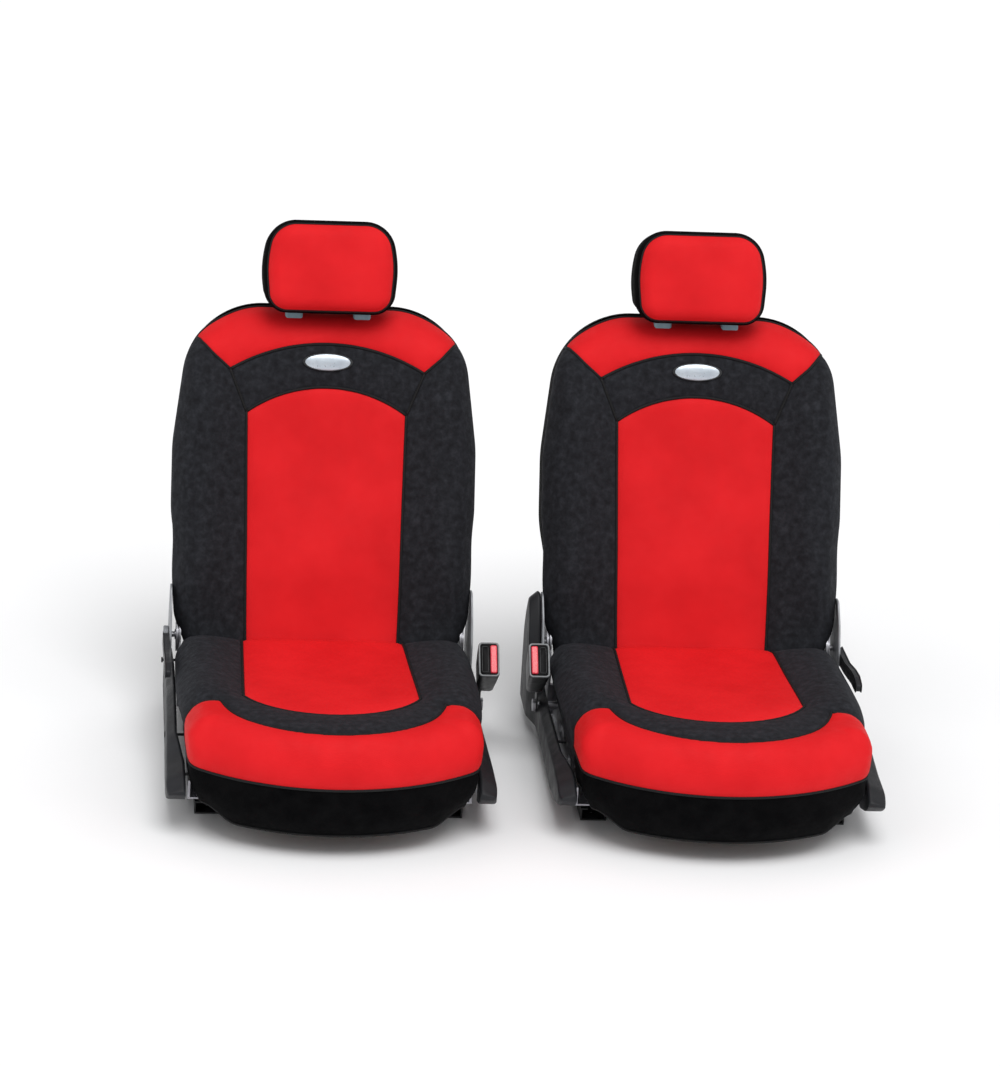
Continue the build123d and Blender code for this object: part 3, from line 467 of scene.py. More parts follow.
class Pad:
    """A padded surface: a face cut into panels by seams, and the boxing that runs from its edge.

    place3(a, b, depth) puts a plane point in space. For an outline o with normals n, radius(o, n) gives the
    rounding of the edge (across, down), inset(o, n) how far inside it the flat face stops, and end(o, n) the
    depth where the boxing stops. A point belongs to the first of the regions that holds it, or to one more.
    """

    def __init__(self, outline, place3, radius, inset, end, seams, regions,
                 h=PANEL_STEP, rows=7, relief=None, flip=False):
        self.place3, self.flip = place3, flip
        self.relief = relief
        o = resample(outline, h, True)
        n = normals2(o)
        R, D = radius(o, n)
        d0 = inset(o, n)
        self.fine = resample(outline, FINE_STEP, True)
        self.fine_R, self.fine_D = radius(self.fine, normals2(self.fine))
        rim = o - n * d0[:, None]
        lines = []
        for s in seams:
            q = resample(s, h)
            keep = inside(q, rim)
            q = q[keep]
            if not keep[0]:
                q = np.vstack([rim[nearest(q[:1], rim)[1]], q])
            if not keep[-1]:
                q = np.vstack([q, rim[nearest(q[-1:], rim)[1]]])
            lines.append(q)
        self.lines = lines
        v2, f = triangulate(rim, lines, h)
        k = len(rim)
        order = nearest(rim, v2)[1]
        self.regions = regions
        owner = self.owner(v2[f].mean(1))
        v3 = self.surface(v2)
        base = len(v2)
        # boxing rows, from the rim down
        w0 = self.depth(rim)[0]
        wend = end(o, n)
        ring2, ring3, tris, own = [], [], [], []
        last3, length = v3[order], np.zeros(k)
        self.ring_index = [order]
        mid = (rim + np.roll(rim, -1, 0)) / 2 - n * 0.001
        col = self.owner(mid)
        for r in range(1, rows + 1):
            w = lerp(w0, wend, r / rows)
            q = np.clip(w / D, 0, 1)
            d = R * (1 - np.sqrt(np.clip(1 - (1 - q) ** 2, 0, 1)))
            p2 = o - n * d[:, None]
            p3 = place3(p2[:, 0], p2[:, 1], w)
            length = length + np.linalg.norm(p3 - last3, axis=1)
            last3 = p3
            ring2.append(rim + n * length[:, None])
            ring3.append(p3)
            self.ring_index.append(base + (r - 1) * k + np.arange(k))
        for a, b in zip(self.ring_index[:-1], self.ring_index[1:]):
            for i in range(k):
                j = (i + 1) % k
                tris += [(a[i], b[i], b[j]), (a[i], b[j], a[j])]
                own += [col[i], col[i]]
        self.v2 = np.vstack([v2] + ring2)
        self.v3 = np.vstack([v3] + ring3)
        self.f = np.vstack([f, np.array(tris)])
        self.who = np.r_[owner, np.array(own)]
        self.k, self.col, self.rim = k, col, rim
        # distance to the seams and the lower edge, and to the outline
        near = [np.vstack([resample(q, FINE_STEP) for q in lines])] if lines else []
        for q in lines:
            for tip in (q[0], q[-1]):
                dist, i = nearest(tip[None], rim)
                if dist[0] < SAME_POINT:
                    near += [r[i] for r in ring2]
        near = near + [ring2[-1]]
        self.ds = nearest(self.v2, np.vstack(near))[0]
        self.dout = nearest(self.v2, self.fine)[0] * inside(self.v2, self.fine)
        self.n = self.normals()
        self.tree = None

    def normals(self):
        """Outward normals of the surface as it now is."""
        n = vertex_normals(self.v3, self.f)
        return -n if self.flip else n

    def owner(self, p):
        """Number of the first region that holds each point."""
        who = np.full(len(p), len(self.regions), int)
        for k, poly in reversed(list(enumerate(self.regions))):
            who[inside(p, poly)] = k
        return who

    def depth(self, p):
        """How far the rounded edge drops below the face, and the distance to the outline."""
        d, i = nearest(p, self.fine)
        R, D = self.fine_R[i], self.fine_D[i]
        q = 1 - np.clip(d / R, 0, 1)
        return D * (1 - np.sqrt(1 - q**2)), d

    def surface(self, p):
        w, d = self.depth(p)
        if self.relief is not None:
            w = w + self.relief(p, d)
        return self.place3(p[:, 0], p[:, 1], w)

    def puff(self, amounts, sink=0.0018, width=0.018, edge=0.03, low=0.25):
        """Raises each panel by its amount away from the seams, and sinks the seams."""
        amp = np.zeros(len(self.v2))
        cnt = np.zeros(len(self.v2))
        for k in range(3):
            np.add.at(amp, self.f[:, k], np.asarray(amounts)[self.who])
            np.add.at(cnt, self.f[:, k], 1)
        amp /= np.maximum(cnt, 1)
        amp = amp * lerp(low, 1.0, smooth(0, edge, self.dout))
        rise = amp * (1 - np.exp(-self.ds / width)) - sink * np.exp(-((self.ds / 0.0045) ** 2))
        self.v3 = self.v3 + self.n * rise[:, None]
        self.n = self.normals()

    def mesh(self, name, mat, *which):
        """Mesh of the chosen regions."""
        f = self.f[np.isin(self.who, which)]
        if self.flip:
            f = f[:, ::-1]
        used = np.unique(f)
        new = np.full(len(self.v2), -1)
        new[used] = np.arange(len(used))
        return build(name, self.v3[used], new[f], mat, uv=self.v2[used])

    def lift(self, line):
        """3D points and normals of a 2D line on the finished surface."""
        if self.tree is None:
            self.tree = BVHTree.FromPolygons([(x, y, 0) for x, y in self.v2], [tuple(t) for t in self.f])
        pts, nrm = [], []
        for p in line:
            at, _, i, _ = self.tree.find_nearest((p[0], p[1], 0))
            a, b, c = self.v2[self.f[i]]
            m = np.array([[b[0] - a[0], c[0] - a[0]], [b[1] - a[1], c[1] - a[1]]])
            u, v = np.linalg.solve(m, np.array([at[0] - a[0], at[1] - a[1]]))
            wts = np.array([1 - u - v, u, v])
            pts.append(wts @ self.v3[self.f[i]])
            q = wts @ self.n[self.f[i]]
            nrm.append(q / np.linalg.norm(q))
        return np.array(pts), np.array(nrm)

    def seam_line(self, index):
        """A seam in 3D, run on down the boxing where it reaches the rim."""
        q = self.lines[index]
        pts, nrm = self.lift(q)
        for end in (0, -1):
            dist, i = nearest(q[end][None], self.rim)
            if dist[0] < SAME_POINT:
                more = [r[i[0]] for r in self.ring_index[1:]]
                p, m = self.v3[more], self.n[more]
                if end == 0:
                    pts, nrm = np.vstack([p[::-1], pts]), np.vstack([m[::-1], nrm])
                else:
                    pts, nrm = np.vstack([pts, p]), np.vstack([nrm, m])
        return pts, nrm

    def ring(self):
        """Points and normals of the lower edge."""
        i = self.ring_index[-1]
        return self.v3[i], self.n[i]


# ---------------------------------------------------------------- backrest cover
back_outline = rounded(mirrored([
    (0.232, -0.060, 0.058), (0.243, 0.088, 0.3), (0.267, 0.220, 0.26), (0.267, 0.345, 0.3),
    (0.236, 0.595, 0.14)]))


def back_radius(o, n):
    up, down = smooth(0.25, 0.95, n[:, 1]), smooth(0.2, 0.9, -n[:, 1])
    r = 0.036 + up * 0.049 + down * 0.020
    return r, r


def back_inset(o, n):
    return 0.004 + 0.0065 * smooth(0.25, 0.95, n[:, 1])


def even(value):
    """The same measure all round an outline."""
    return lambda o, n: np.full(len(o), value)


def bump2(x, s, cx, cs, wx, ws):
    """Smooth hill of height 1 at (cx, cs)."""
    return np.exp(-(((x - cx) / wx) ** 2) - ((s - cs) / ws) ** 2)


def back_relief(p, d):
    """Raised bolsters, a hollow at shoulder height and a lumbar swell."""
    x, s = np.abs(p[:, 0]), p[:, 1]
    lean = smooth(0.02, 0.12, s) * (1 - smooth(0.40, 0.52, s))
    w = -0.015 * np.exp(-(((x - 0.208) / 0.036) ** 2)) * lean
    w += 0.005 * np.exp(-((x / 0.11) ** 2)) * smooth(0.20, 0.33, s) * (1 - smooth(0.40, 0.50, s))
    w -= 0.007 * bump2(x, s, 0, 0.14, 0.15, 0.09)
    return w * smooth(0, 0.03, d)


def both_sides(*lines):
    """Each line and its mirror image."""
    out = []
    for q in lines:
        q = np.asarray(q, float)
        out += [q, q * (-1, 1)]
    return out


arch_low = arc((0.141, 0.400), (0, 0.446), (-0.141, 0.400))
arch_top = arc((0.171, 0.474), (0, 0.522), (-0.171, 0.474))
back_seams = [arch_low, arch_top] + both_sides(
    [(0.132, -0.12), (0.141, 0.400)], [(0.141, 0.400), (0.171, 0.474)],
    [(0.171, 0.474), (0.200, 0.4995), (0.224, 0.525), (0.300, 0.600)],
)
back_regions = [
    np.vstack([[(-0.132, -0.12), (0.132, -0.12)], arch_low]),
    np.vstack([arch_low[::-1], arch_top]),
    np.vstack([arch_top[::-1], [(0.200, 0.4995), (0.224, 0.525), (0.300, 0.600), (0.3, 0.7), (-0.3, 0.7),
                                (-0.300, 0.600), (-0.224, 0.525), (-0.200, 0.4995)]]),
]


def back_face(x, s, w):
    """The lower bolsters swell in front of the recliner arms and pull in behind them."""
    low = smooth(-0.03, 0.05, s) * (1 - smooth(0.07, 0.22, s))
    grow = 0.080 * low * (1 - smooth(0.030, 0.050, w)) * smooth(0.12, 0.23, np.abs(x))
    return back3(x * (1 + grow), s, w)


back = Pad(
    back_outline, back_face, back_radius, back_inset, even(0.054), back_seams, back_regions, relief=back_relief,
)
back.puff([0.0045, 0.0040, 0.0040, 0.0075])
both(back.mesh("back_centre", "red", 0), "back_centre", "backrest",
     ["back_cover_centre", "back_foam"])
both(back.mesh("back_yoke", "suede", 1), "back_yoke", "backrest",
     ["back_cover_yoke"])
both(back.mesh("back_shoulder", "red", 2), "back_shoulder", "backrest",
     ["back_cover_shoulder"])
both(back.mesh("back_bolsters", "suede", 3), "back_bolsters", "backrest",
     ["back_cover_bolsters"])

# rear of the backrest cover: plain knit with the outline of a map pocket
pocket = rounded(mirrored([(0.165, 0.055, 0.03), (0.172, 0.330, 0.004)]))


def rear_radius(o, n):
    down = smooth(0.2, 0.9, -n[:, 1])
    r = 0.026 + down * 0.028
    return r, r


rear = Pad(
    back_outline, lambda x, s, w: back3(x, s, 0.112 - w), rear_radius, even(0.004), even(0.058),
    [np.vstack([pocket, pocket[:1]])], [pocket], flip=True, h=0.009, rows=8,
)
rear.puff([0.0035, 0.0030], width=0.02)
both(rear.mesh("back_rear", "knit", 0, 1), "back_rear", "backrest",
     ["back_cover_rear"])


def cord_piece(name, tubes, body):
    """Joins tubes of binding into one piece on both seats."""
    both(build(name, *join(tubes), "binding"), name, body)


def piping(pts, nrm, radius=0.0027, closed=False, proud=0.2):
    """Cord along a line, its centre lifted by a share of its radius."""
    return tube(pts + nrm * radius * proud, radius, 8, closed, up=nrm[0])


cords = [piping(*back.seam_line(i)) for i in range(len(back_seams))]
cords.append(piping(*back.ring(), radius=0.0028, closed=True))
cord_piece("back_piping", cords, "backrest")

pocket_line = rear.lift(resample(pocket, 0.004, True))
pocket_mouth = rear.lift(resample([(-0.170, 0.328), (0.170, 0.328)], 0.004))
cord_piece("back_pocket_binding", [
    piping(*pocket_line, 0.0018, True), piping(*pocket_mouth, 0.0042, proud=0.1)], "backrest")

# ---------------------------------------------------------------- headrest cover
head_outline = rounded(mirrored([(0.112, 0.570, 0.040), (0.120, 0.662, 0.200), (0.105, 0.738, 0.054)]), 0.001)


def head3(x, s, t):
    """Headrest point; the lower edge rises towards the back."""
    under = 0.019 * smooth(-0.034, 0.012, t) * (1 - smooth(0.572, 0.640, s))
    return back3(x, s + under, t)


def head_radius(r):
    return lambda o, n: (even(r)(o, n), even(r)(o, n))


def head_relief(p, d):
    x, s = p[:, 0], p[:, 1]
    return -0.004 * bump2(x, s, 0, 0.665, 0.10, 0.06) * smooth(0, 0.03, d)


front_edge = resample(head_outline, 0.004, True)
front_edge = resample(front_edge - normals2(front_edge) * 0.0068, 0.004, True)
head = Pad(
    head_outline, lambda x, s, w: head3(x, s, w - 0.044), head_radius(0.030), even(0.0028), even(0.050),
    [np.vstack([front_edge, front_edge[:1]])], [front_edge], h=0.0048, rows=8, relief=head_relief,
)
head.puff([0.0050, 0.0012], width=0.018, edge=0.02, low=0.6)
both(head.mesh("head_front", "red", 0), "head_front", "headrest",
     ["headrest_cover_front", "headrest_foam"])
head_back = Pad(
    head_outline, lambda x, s, w: head3(x, s, 0.052 - w), head_radius(0.034), even(0.003), even(0.046),
    [[(0, 0.5), (0, 0.8)]], [], h=0.006, rows=7, flip=True,
)
head_back.puff([0.0030], edge=0.02, low=0.4)
both(head.mesh("head_boxing", "knit", 1), "head_boxing", "headrest")
both(head_back.mesh("head_rear", "knit", 0), "head_rear", "headrest",
     ["headrest_cover_rear"])
face_line = head.lift(resample(front_edge, 0.003, True))
cord_piece("head_piping", [
    piping(*face_line, 0.0017, True), piping(*head.ring(), radius=0.0017, closed=True),
    piping(*head_back.seam_line(0), radius=0.0014)], "headrest")

# ---------------------------------------------------------------- cushion cover
EDGE_Z = 0.134
side = arc((0.246, 0.069), (0.249, -0.210), (0.243, -0.420))
nose = arc((0.243, -0.420), (0, -0.515), (-0.243, -0.420))
cushion_outline = edge_curve(
    (nose[::-1], 0.022), (side[::-1], 0.024), (np.array([(0.246, 0.069), (-0.246, 0.069)]), 0.024),
    (side * (-1, 1), 0.022),
)


def top_z(y):
    """Height of the flat top, which falls four degrees to the rear."""
    return 0.175 + (0.069 - y) * math.tan(math.radians(4))


def cushion_radius(o, n):
    front, back_ = smooth(0.15, 0.95, -n[:, 1]), smooth(0.3, 0.9, n[:, 1])
    r = 0.034 + 0.030 * front - 0.018 * back_
    d = 0.034 + 0.034 * front - 0.018 * back_
    return r, d


def cushion_relief(p, d):
    """Raised side bolsters, a hollow seat and a fuller nose."""
    x, y = np.abs(p[:, 0]), p[:, 1]
    along = smooth(-0.40, -0.24, y) * (1 - smooth(-0.02, 0.07, y))
    w = -0.010 * np.exp(-(((x - 0.200) / 0.034) ** 2)) * along
    w += 0.008 * bump2(x, y, 0, -0.10, 0.12, 0.12)
    w -= 0.004 * np.exp(-(((y + 0.490) / 0.035) ** 2))
    return w * smooth(0, 0.04, d)


seat_low = arc((0.149, -0.269), (0, -0.362), (-0.149, -0.269))
roll_top = arc((0.188, -0.311), (0, -0.464), (-0.188, -0.311))
cushion_seams = [seat_low, roll_top] + both_sides(
    [(0.139, 0.12), (0.149, -0.269)], [(0.188, -0.311), (0.32, -0.318)])
cushion_regions = [
    np.vstack([[(-0.139, 0.12), (-0.149, -0.269)], seat_low[::-1], [(0.149, -0.269), (0.139, 0.12)]]),
    np.vstack([roll_top, [(-0.32, -0.318), (-0.32, -0.6), (0.32, -0.6), (0.32, -0.318)]]),
]


def cushion_face(x, y, w):
    """The sides swell a little over the trims; the rear edge is drawn in, clear of the reclining backrest."""
    swell = smooth(-0.36, -0.20, y) * (1 - 0.35 * smooth(0.0, 0.075, y)) * (1 - smooth(0.026, 0.052, w))
    grow = 0.036 * swell * smooth(0.12, 0.24, np.abs(x))
    drawn = smooth(0.020, 0.080, y)
    return flat3(x * (1 + grow), y - 0.0105 * drawn, top_z(y) - w - 0.005 * drawn)


cushion = Pad(
    cushion_outline, cushion_face, cushion_radius, even(0.004), lambda o, n: top_z(o[:, 1]) - EDGE_Z,
    cushion_seams, cushion_regions, relief=cushion_relief,
)
cushion.puff([0.0050, 0.0085, 0.0070], low=0.45)
both(cushion.mesh("cushion_centre", "red", 0), "cushion_centre", "base",
     ["cushion_cover_centre"])
both(cushion.mesh("cushion_roll", "red", 1), "cushion_roll", "base",
     ["cushion_cover_roll"])

# skirt below the front roll and boxing below the sides, with a hem turned in and up
SKIRT_ROWS, HEM_ROWS = 8, 3
ring3, ring_n = cushion.ring()
around = cushion.k
ring2 = cushion.rim
out2 = normals2(resample(cushion_outline, PANEL_STEP, True))
is_roll = cushion.col == 1
hem = 0.043 + 0.034 * smooth(0.170, 0.244, np.abs(ring2[:, 0])) * smooth(-0.36, -0.46, ring2[:, 1])
hem = lerp(0.084, hem, smooth(-0.36, -0.43, ring2[:, 1]))
low = lerp(0.097, hem, smooth(-0.318, -0.350, ring2[:, 1]))
rows = [ring3]
for r in range(1, SKIRT_ROWS + 1):
    w = r / SKIRT_ROWS
    tuck = 0.004 * smooth(0, 0.25, w) + 0.018 * w**3 * smooth(-0.32, -0.42, ring2[:, 1])
    p = ring3.copy()
    p[:, 2] = lerp(ring3[:, 2], low, w)
    swell = 0.004 * math.sin(math.pi * w)
    p[:, 0] += out2[:, 0] * (swell - tuck)
    p[:, 1] += out2[:, 1] * (swell - tuck)
    rows.append(p)
for r in range(1, HEM_ROWS + 1):
    p = rows[SKIRT_ROWS].copy()
    p[:, :2] -= out2 * 0.0028
    p[:, 2] += 0.008 * (r - 1)
    rows.append(p)
sv, sf = strip(rows)
skirt_f = [q for q in sf if is_roll[q[0] % around]]
band_f = [q for q in sf if not is_roll[q[0] % around]]


def pick(verts, faces, name, mat, uv=None):
    """Mesh of some of the faces, with only the vertices they use."""
    used = sorted({i for q in faces for i in q})
    new = {i: n for n, i in enumerate(used)}
    uv = None if uv is None else uv[used]
    return build(name, verts[used], [[new[i] for i in q] for q in faces], mat, uv)


lengths = np.r_[0, np.cumsum(np.linalg.norm(np.roll(ring3, -1, 0) - ring3, axis=1))[:-1]]
suv = np.vstack([np.stack([lengths, EDGE_Z - p[:, 2]], -1) for p in rows])
both(pick(sv, skirt_f, "cushion_skirt", "knit", suv), "cushion_skirt", "base",
     ["cushion_cover_skirt"])
both(cushion.mesh("cushion_band", "suede", 2), "cushion_band", "base",
     ["cushion_cover_band"])
both(pick(sv, band_f, "cushion_side_band", "suede", suv), "cushion_side_band", "base")

cords = [piping(*cushion.seam_line(i)) for i in range(len(cushion_seams))]
roll_index = np.where(is_roll)[0]
start = [i for i in roll_index if not is_roll[i - 1]][0]
run = [(start + i) % around for i in range(len(roll_index) + 1)]
cords.append(piping(ring3[run], ring_n[run], 0.0024))
cords.append(piping(rows[SKIRT_ROWS][run], np.column_stack([out2[run], np.zeros(len(run))]), 0.0022))
cord_piece("cushion_piping", cords, "base")

# underside of the cushion pad, slightly uneven bare foam
FOAM_STEP = 0.012
pad_edge = resample(cushion_outline, FOAM_STEP, True)
pad_edge = pad_edge - normals2(pad_edge) * 0.007
pad_edge[:, 1] = np.maximum(pad_edge[:, 1], -0.402)
under2, under_f = triangulate(resample(pad_edge, FOAM_STEP, True), [], FOAM_STEP)
z = 0.0975 + 0.0012 * np.sin(under2[:, 0] * 60) * np.cos(under2[:, 1] * 50)
both(build("cushion_underside", flat3(under2[:, 0], under2[:, 1], z), under_f[:, ::-1], "foam"),
     "cushion_underside", "base", ["cushion_foam"])

# ---------------------------------------------------------------- badge
BADGE_S, BADGE_HALF_X, BADGE_HALF_S, BADGE_SIDES = 0.490, 0.044, 0.0155, 96
PLATE_RINGS = ((0.0, 0.0042), (0.35, 0.0040), (0.65, 0.0034), (0.84, 0.0026))
SURROUND_RINGS = ((0.90, 0.0020), (0.93, 0.0027), (0.98, 0.0028), (1.0, 0.0020), (1.0, -0.002))
turn = np.linspace(0, 2 * math.pi, BADGE_SIDES + 1)[:-1]


def badge_oval(r):
    return np.stack([BADGE_HALF_X * r * np.cos(turn), BADGE_S + BADGE_HALF_S * r * np.sin(turn)], -1)


def badge_terms(q):
    x, y = q[:, 0], q[:, 1] - BADGE_S
    return np.stack([np.ones(len(q)), x, y, x * x, y * y], -1)


# a smooth curved bed fitted to the yoke under the badge
bed = np.vstack([badge_oval(r) for r in (0.5, 1.0)])
fit_p, fit_n = (np.linalg.lstsq(badge_terms(bed), v, rcond=None)[0] for v in back.lift(bed))
badge_rows = []
for r, lift in PLATE_RINGS + SURROUND_RINGS:
    q = badge_terms(badge_oval(r))
    badge_rows.append(q @ fit_p + q @ fit_n * lift)
bv, bf = strip(badge_rows)
plate_count = len(PLATE_RINGS) * BADGE_SIDES
both(pick(bv, bf[:plate_count], "badge_plate", "badge"), "badge_plate", "backrest",
     ["badge"])
both(pick(bv, bf[plate_count:], "badge_surround", "buckle"), "badge_surround", "backrest")

# ---------------------------------------------------------------- side trims
def loft(sections):
    """Closed skin through the sections, with both ends closed."""
    v, f = strip(sections)
    n = len(sections[0])
    return v, f + [tuple(reversed(range(n))), tuple(range((len(sections) - 1) * n, len(sections) * n))]


def trim_mesh(name, top, bottom, inner, outer, ridge):
    """A moulding on the +x side: flat outer face, sloping top face, rounded nose and tail.

    Each profile is a list of (y, value): top and bottom heights, inner and outer x, fall of the top face.
    """
    y0, y1 = top[0][0], top[-1][0]
    nose, tail = 0.030, 0.012
    ys = np.r_[y0 + nose * (1 - np.cos(np.linspace(0.12, math.pi / 2, 9))),
               np.linspace(y0 + nose + 0.008, y1 - tail - 0.004, 64),
               y1 - tail * (1 - np.cos(np.linspace(math.pi / 2, 0.2, 6)))]
    sections = []
    for y in ys:
        zt, zb = (np.interp(y, *zip(*c)) for c in (top, bottom))
        xi, xo, rise = (np.interp(y, *zip(*c)) for c in (inner, outer, ridge))
        e = min(1, math.sqrt(max(0, 1 - max(0, (y0 + nose - y) / nose) ** 2)),
                math.sqrt(max(0, 1 - max(0, (y - y1 + tail) / tail) ** 2)))
        mid, half = (zt + zb) / 2, (zt - zb) / 2 * lerp(0.25, 1, e)
        xo = xo - 0.007 * (1 - e)
        r = min(0.006, half * 0.4)
        rise = min(rise, half)
        c = [(xi, mid - half, 0.0015), (xo, mid - half, r), (xo, mid + half - rise, r * 0.6),
             (xi + 0.004, mid + half, 0.0025), (xi, mid + half - 0.003, 0.0008)]
        q = []
        for k in range(5):
            a, b = np.array(c[k][:2]), np.array(c[(k + 1) % 5][:2])
            p = np.array(c[k - 1][:2])
            d0, d1 = (p - a) / np.linalg.norm(p - a), (b - a) / np.linalg.norm(b - a)
            cut = min(c[k][2], np.linalg.norm(p - a) * 0.45, np.linalg.norm(b - a) * 0.45)
            for w in np.linspace(0, 1, 6):
                q.append((1 - w) ** 2 * (a + d0 * cut) + 2 * w * (1 - w) * a + w**2 * (a + d1 * cut))
        q = np.array(q)
        sections.append(flat3(q[:, 0], np.full(len(q), y), q[:, 1]))
    return build(name, *loft(sections), "trim")


def slab(name, outline, x0, x1, mat, bevel=0.0008):
    """Flat part: an outline in (y, z) between two x planes, edges broken."""
    o = np.asarray(outline)
    n = normals2(o)
    sections = []
    for x, inset in ((x0, bevel), (x0 + bevel, 0), (x1 - bevel, 0), (x1, bevel)):
        q = o - n * inset
        sections.append(flat3(np.full(len(q), x), q[:, 0], q[:, 1]))
    return build(name, *loft(sections), mat, smooth_shade=False)


outer_top = [(-0.418, 0.092), (-0.385, 0.106), (-0.320, 0.112), (-0.250, 0.126), (-0.120, 0.146),
             (0.020, 0.142), (0.070, 0.128), (0.186, 0.106)]
inner_top = [(-0.404, 0.092), (-0.370, 0.103), (-0.300, 0.104), (-0.090, 0.095), (0.040, 0.094),
             (0.186, 0.098)]
tower_top = inner_top[:4] + [(0.036, 0.096), (0.054, 0.112), (0.070, 0.146), (0.094, 0.206), (0.118, 0.244),
                             (0.134, 0.248), (0.160, 0.214), (0.186, 0.150)]
low_edge = [(-0.418, 0.074), (-0.385, 0.058), (-0.330, 0.041), (-0.240, 0.027), (0.186, 0.027)]
ledge = [(-0.418, 0.246), (-0.340, 0.247), (-0.250, 0.2585), (0.186, 0.2585)]
tower_in = ledge[:3] + [(0.040, 0.2585), (0.060, 0.2685), (0.186, 0.2685)]
outer_face = [(-0.418, 0.279), (-0.100, 0.2745), (0.186, 0.2725)]
inner_face = [(-0.404, 0.277), (-0.120, 0.2745), (0.186, 0.2745)]
tower_out = inner_face[:2] + [(0.030, 0.2745), (0.080, 0.2880), (0.186, 0.2880)]
outer_mesh = mirror_mesh(trim_mesh("outer_trim_shell", outer_top, low_edge, ledge, outer_face,
                                   [(-0.418, 0.012), (-0.200, 0.015), (0.186, 0.013)]))
inner_mesh = trim_mesh("inner_trim_shell", inner_top, low_edge, ledge, inner_face,
                       [(-0.404, 0.014), (0.186, 0.018)])
tower_mesh = trim_mesh("inner_trim_tower", tower_top, low_edge, tower_in, tower_out,
                       [(-0.404, 0.014), (0.186, 0.014)])
for seat, side in SIDES:
    place(outer_mesh, f"{seat}_outer_trim_shell", side, f"{seat}_base",
          [f"{seat}_outer_trim"], True)
    place(inner_mesh if side < 0 else tower_mesh, f"{seat}_inner_trim_shell", side, f"{seat}_base",
          [f"{seat}_inner_trim"], True)

plate_outline = rounded([
    (0.060, 0.090, 0.004), (0.184, 0.078, 0.004), (0.184, 0.150, 0.03), (0.160, 0.212, 0.02),
    (0.138, 0.244, 0.010), (0.116, 0.244, 0.010), (0.084, 0.212, 0.03), (0.062, 0.166, 0.02)], 0.004)
for tag in ("outer", "inner"):
    me = slab(f"recliner_plate_{tag}", plate_outline, 0.2630, 0.2665, "plate")
    both(mirror_mesh(me) if tag == "outer" else me, f"recliner_plate_{tag}", "base", mirror=True)

# recline lever: dark handle on a bright hub
arm = rounded([(0.112, 0.160, 0.004), (0.020, 0.164, 0.03), (-0.042, 0.176, 0.02), (-0.080, 0.180, 0.012),
               (-0.110, 0.174, 0.006), (-0.104, 0.161, 0.005), (-0.058, 0.160, 0.01), (0.020, 0.148, 0.03),
               (0.112, 0.140, 0.004)][::-1], 0.003)
both(mirror_mesh(slab("lever_handle", arm, 0.2672, 0.2775, "trim", 0.0022)), "lever_handle", "recline_lever",
     ["recline_lever"], mirror=True)
RECLINE_Y, RECLINE_Z, HUB_RADIUS = 0.1293, 0.1504, 0.015
turn = np.linspace(0, 2 * math.pi, 49)[:-1]
hub = np.stack([RECLINE_Y + HUB_RADIUS * np.cos(turn), RECLINE_Z + HUB_RADIUS * np.sin(turn)], -1)
both(mirror_mesh(slab("lever_hub", hub, 0.2668, 0.2760, "plate", 0.0015)), "lever_hub", "recline_lever",
     mirror=True)

# ---------------------------------------------------------------- belt buckle
TILT = math.radians(47)
CASE_U, BUTTON_U, SLOT_U = 0.005, 0.0132, -0.0016


def buckle3(u, v, w):
    """Buckle frame: u across, v along the wide side, w out of the mouth."""
    u, v, w = np.broadcast_arrays(u, v, w)
    return np.stack([0.279 + u, -0.057 + SHIFT + v * math.cos(TILT) - w * math.sin(TILT),
                     0.189 + v * math.sin(TILT) + w * math.cos(TILT)], -1)


def ring3d(hx, hy, r, w, u0=CASE_U, n=96):
    """n points round a rounded box of half sizes hx and hy, always starting at the same place."""
    o = rounded([(hx, -hy, r), (hx, hy, r), (-hx, hy, r), (-hx, -hy, r)], 0.0015)
    closed = np.vstack([o, o[:1]])
    d = np.r_[0, np.cumsum(np.linalg.norm(np.diff(closed, axis=0), axis=1))]
    q = np.linspace(0, d[-1], n + 1)[:-1]
    return buckle3(np.interp(q, d, closed[:, 0]) + u0, np.interp(q, d, closed[:, 1]), w)


def stack(name, mat, levels, u0=CASE_U):
    """Rounded-box rings (half u, half v, radius, w) joined one to the next, both ends closed."""
    return build(name, *loft([ring3d(*level, u0) for level in levels]), mat)


casing = stack("buckle_case", "buckle", [
    (0.0120, 0.0250, 0.005, -0.0850), (0.0138, 0.0270, 0.006, -0.0835), (0.0148, 0.0280, 0.006, -0.0800),
    (0.0168, 0.0300, 0.006, -0.0400), (0.0182, 0.0316, 0.006, -0.0040), (0.0182, 0.0316, 0.006, -0.0012)])
both(casing, "buckle_case", "buckle", ["buckle_casing"], mirror=True)
rim = strip([ring3d(*level) for level in (
    (0.0182, 0.0316, 0.006, -0.0014), (0.0180, 0.0314, 0.006, 0.0008), (0.0172, 0.0306, 0.0055, 0.0015),
    (0.0158, 0.0292, 0.0045, 0.0015), (0.0152, 0.0286, 0.004, 0.0006), (0.0152, 0.0286, 0.004, -0.0012))])
both(build("buckle_rim", *rim, "rim"), "buckle_rim", "buckle", mirror=True)
well = stack("buckle_well", "binding", [(0.0150, 0.0284, 0.004, -0.0011), (0.0150, 0.0284, 0.004, -0.0006)])
both(well, "buckle_well", "buckle", mirror=True)
lip = tube(ring3d(0.0052, 0.0235, 0.002, 0.0002, SLOT_U), 0.0007, 6, True)
both(build("buckle_slot_lip", *lip, "buckle"), "buckle_slot_lip", "buckle",
     mirror=True)
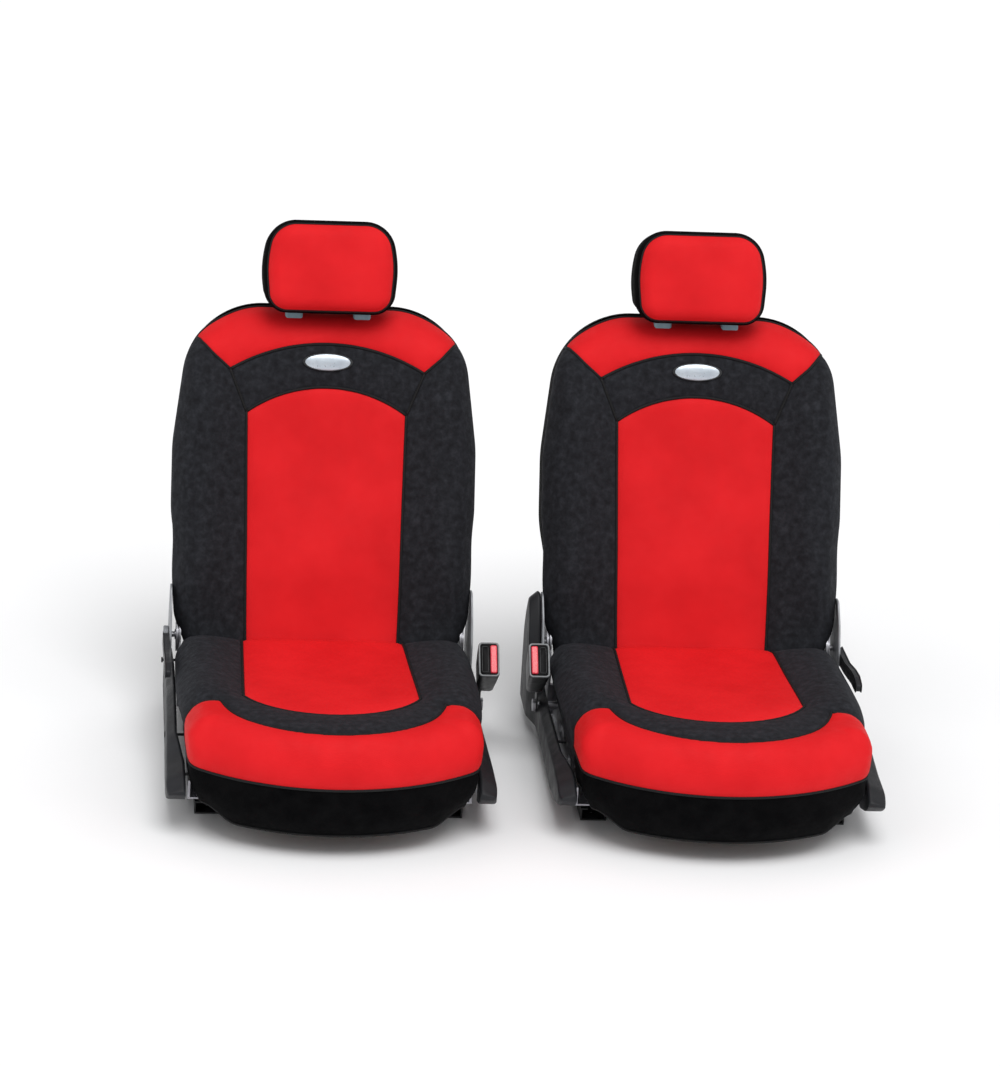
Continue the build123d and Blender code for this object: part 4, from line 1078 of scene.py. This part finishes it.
button = stack("buckle_press", "button", [
    (0.0056, 0.0256, 0.002, -0.0005), (0.0058, 0.0258, 0.0022, 0.0010), (0.0056, 0.0256, 0.0022, 0.0024),
    (0.0048, 0.0248, 0.002, 0.0032), (0.0036, 0.0236, 0.0015, 0.0034)], BUTTON_U)
both(button, "buckle_press", "buckle_button", ["buckle_button"], mirror=True)

# ---------------------------------------------------------------- carried-over hard parts
HARD = {
    "lower_tracks": "painted", "upper_tracks": "painted", "cushion_frame": "zinc", "seat_pan": "painted",
    "trim_screws": "painted", "buckle_stalk": "painted", "slide_bar": "painted",
    "back_frame": "zinc", "post_guides": "sleeve", "headrest_posts": "chrome",
}
for name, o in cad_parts.items():
    key = name.replace("left_", "").replace("right_", "")
    if key in HARD:
        o.data.materials.clear()
        o.data.materials.append(MATS[HARD[key]])

# ---------------------------------------------------------------- studio
floor = bpy.data.objects.new("studio_floor", build(
    "studio_floor", [(-30, -30, 0), (30, -30, 0), (30, 60, 0), (-30, 60, 0)], [(0, 1, 2, 3)], "floor"))
bpy.context.collection.objects.link(floor)


def soft_sun(name, towards, angle, strength):
    """Sun whose disc is that many degrees wide."""
    data = bpy.data.lights.new(name, "SUN")
    data.angle, data.energy = math.radians(angle), strength
    o = bpy.data.objects.new(name, data)
    bpy.context.collection.objects.link(o)
    o.rotation_euler = Vector(towards).to_track_quat("-Z", "Y").to_euler()


soft_sun("key_light", (-0.10, 0.42, -0.90), 40, 1.75)
soft_sun("left_light", (0.80, 0.30, -0.62), 50, 0.45)
soft_sun("right_light", (-0.80, 0.30, -0.62), 50, 0.45)

world = bpy.data.worlds.new("studio")
bpy.context.scene.world = world
world.use_nodes = True
world.node_tree.nodes["Background"].inputs["Color"].default_value = (1, 1, 1, 1)
world.node_tree.nodes["Background"].inputs["Strength"].default_value = 0.50
bpy.context.scene.view_settings.view_transform = "Standard"
bpy.context.scene.view_settings.look = "None"

# ---------------------------------------------------------------- camera
YAW, PITCH, ROLL = math.radians(6.12), math.radians(20.12), math.radians(-3.46)
LENS, SENSOR = 155.0094, 36.0
forward = Vector((math.sin(YAW) * math.cos(PITCH), math.cos(YAW) * math.cos(PITCH), -math.sin(PITCH)))
right = Vector((math.cos(YAW), -math.sin(YAW), 0))
down = forward.cross(right)
cam_x = right * math.cos(ROLL) + down * math.sin(ROLL)
cam_y = -(-right * math.sin(ROLL) + down * math.cos(ROLL))
lens = bpy.data.cameras.new("camera")
lens.sensor_fit, lens.sensor_height, lens.sensor_width = "VERTICAL", SENSOR, SENSOR
lens.lens = LENS
lens.clip_end = 200
camera = bpy.data.objects.new("camera", lens)
bpy.context.collection.objects.link(camera)
camera.matrix_world = Matrix((
    (cam_x.x, cam_y.x, -forward.x, -0.828), (cam_x.y, cam_y.y, -forward.y, -7.3562),
    (cam_x.z, cam_y.z, -forward.z, 3.137), (0, 0, 0, 1)))
bpy.context.scene.camera = camera
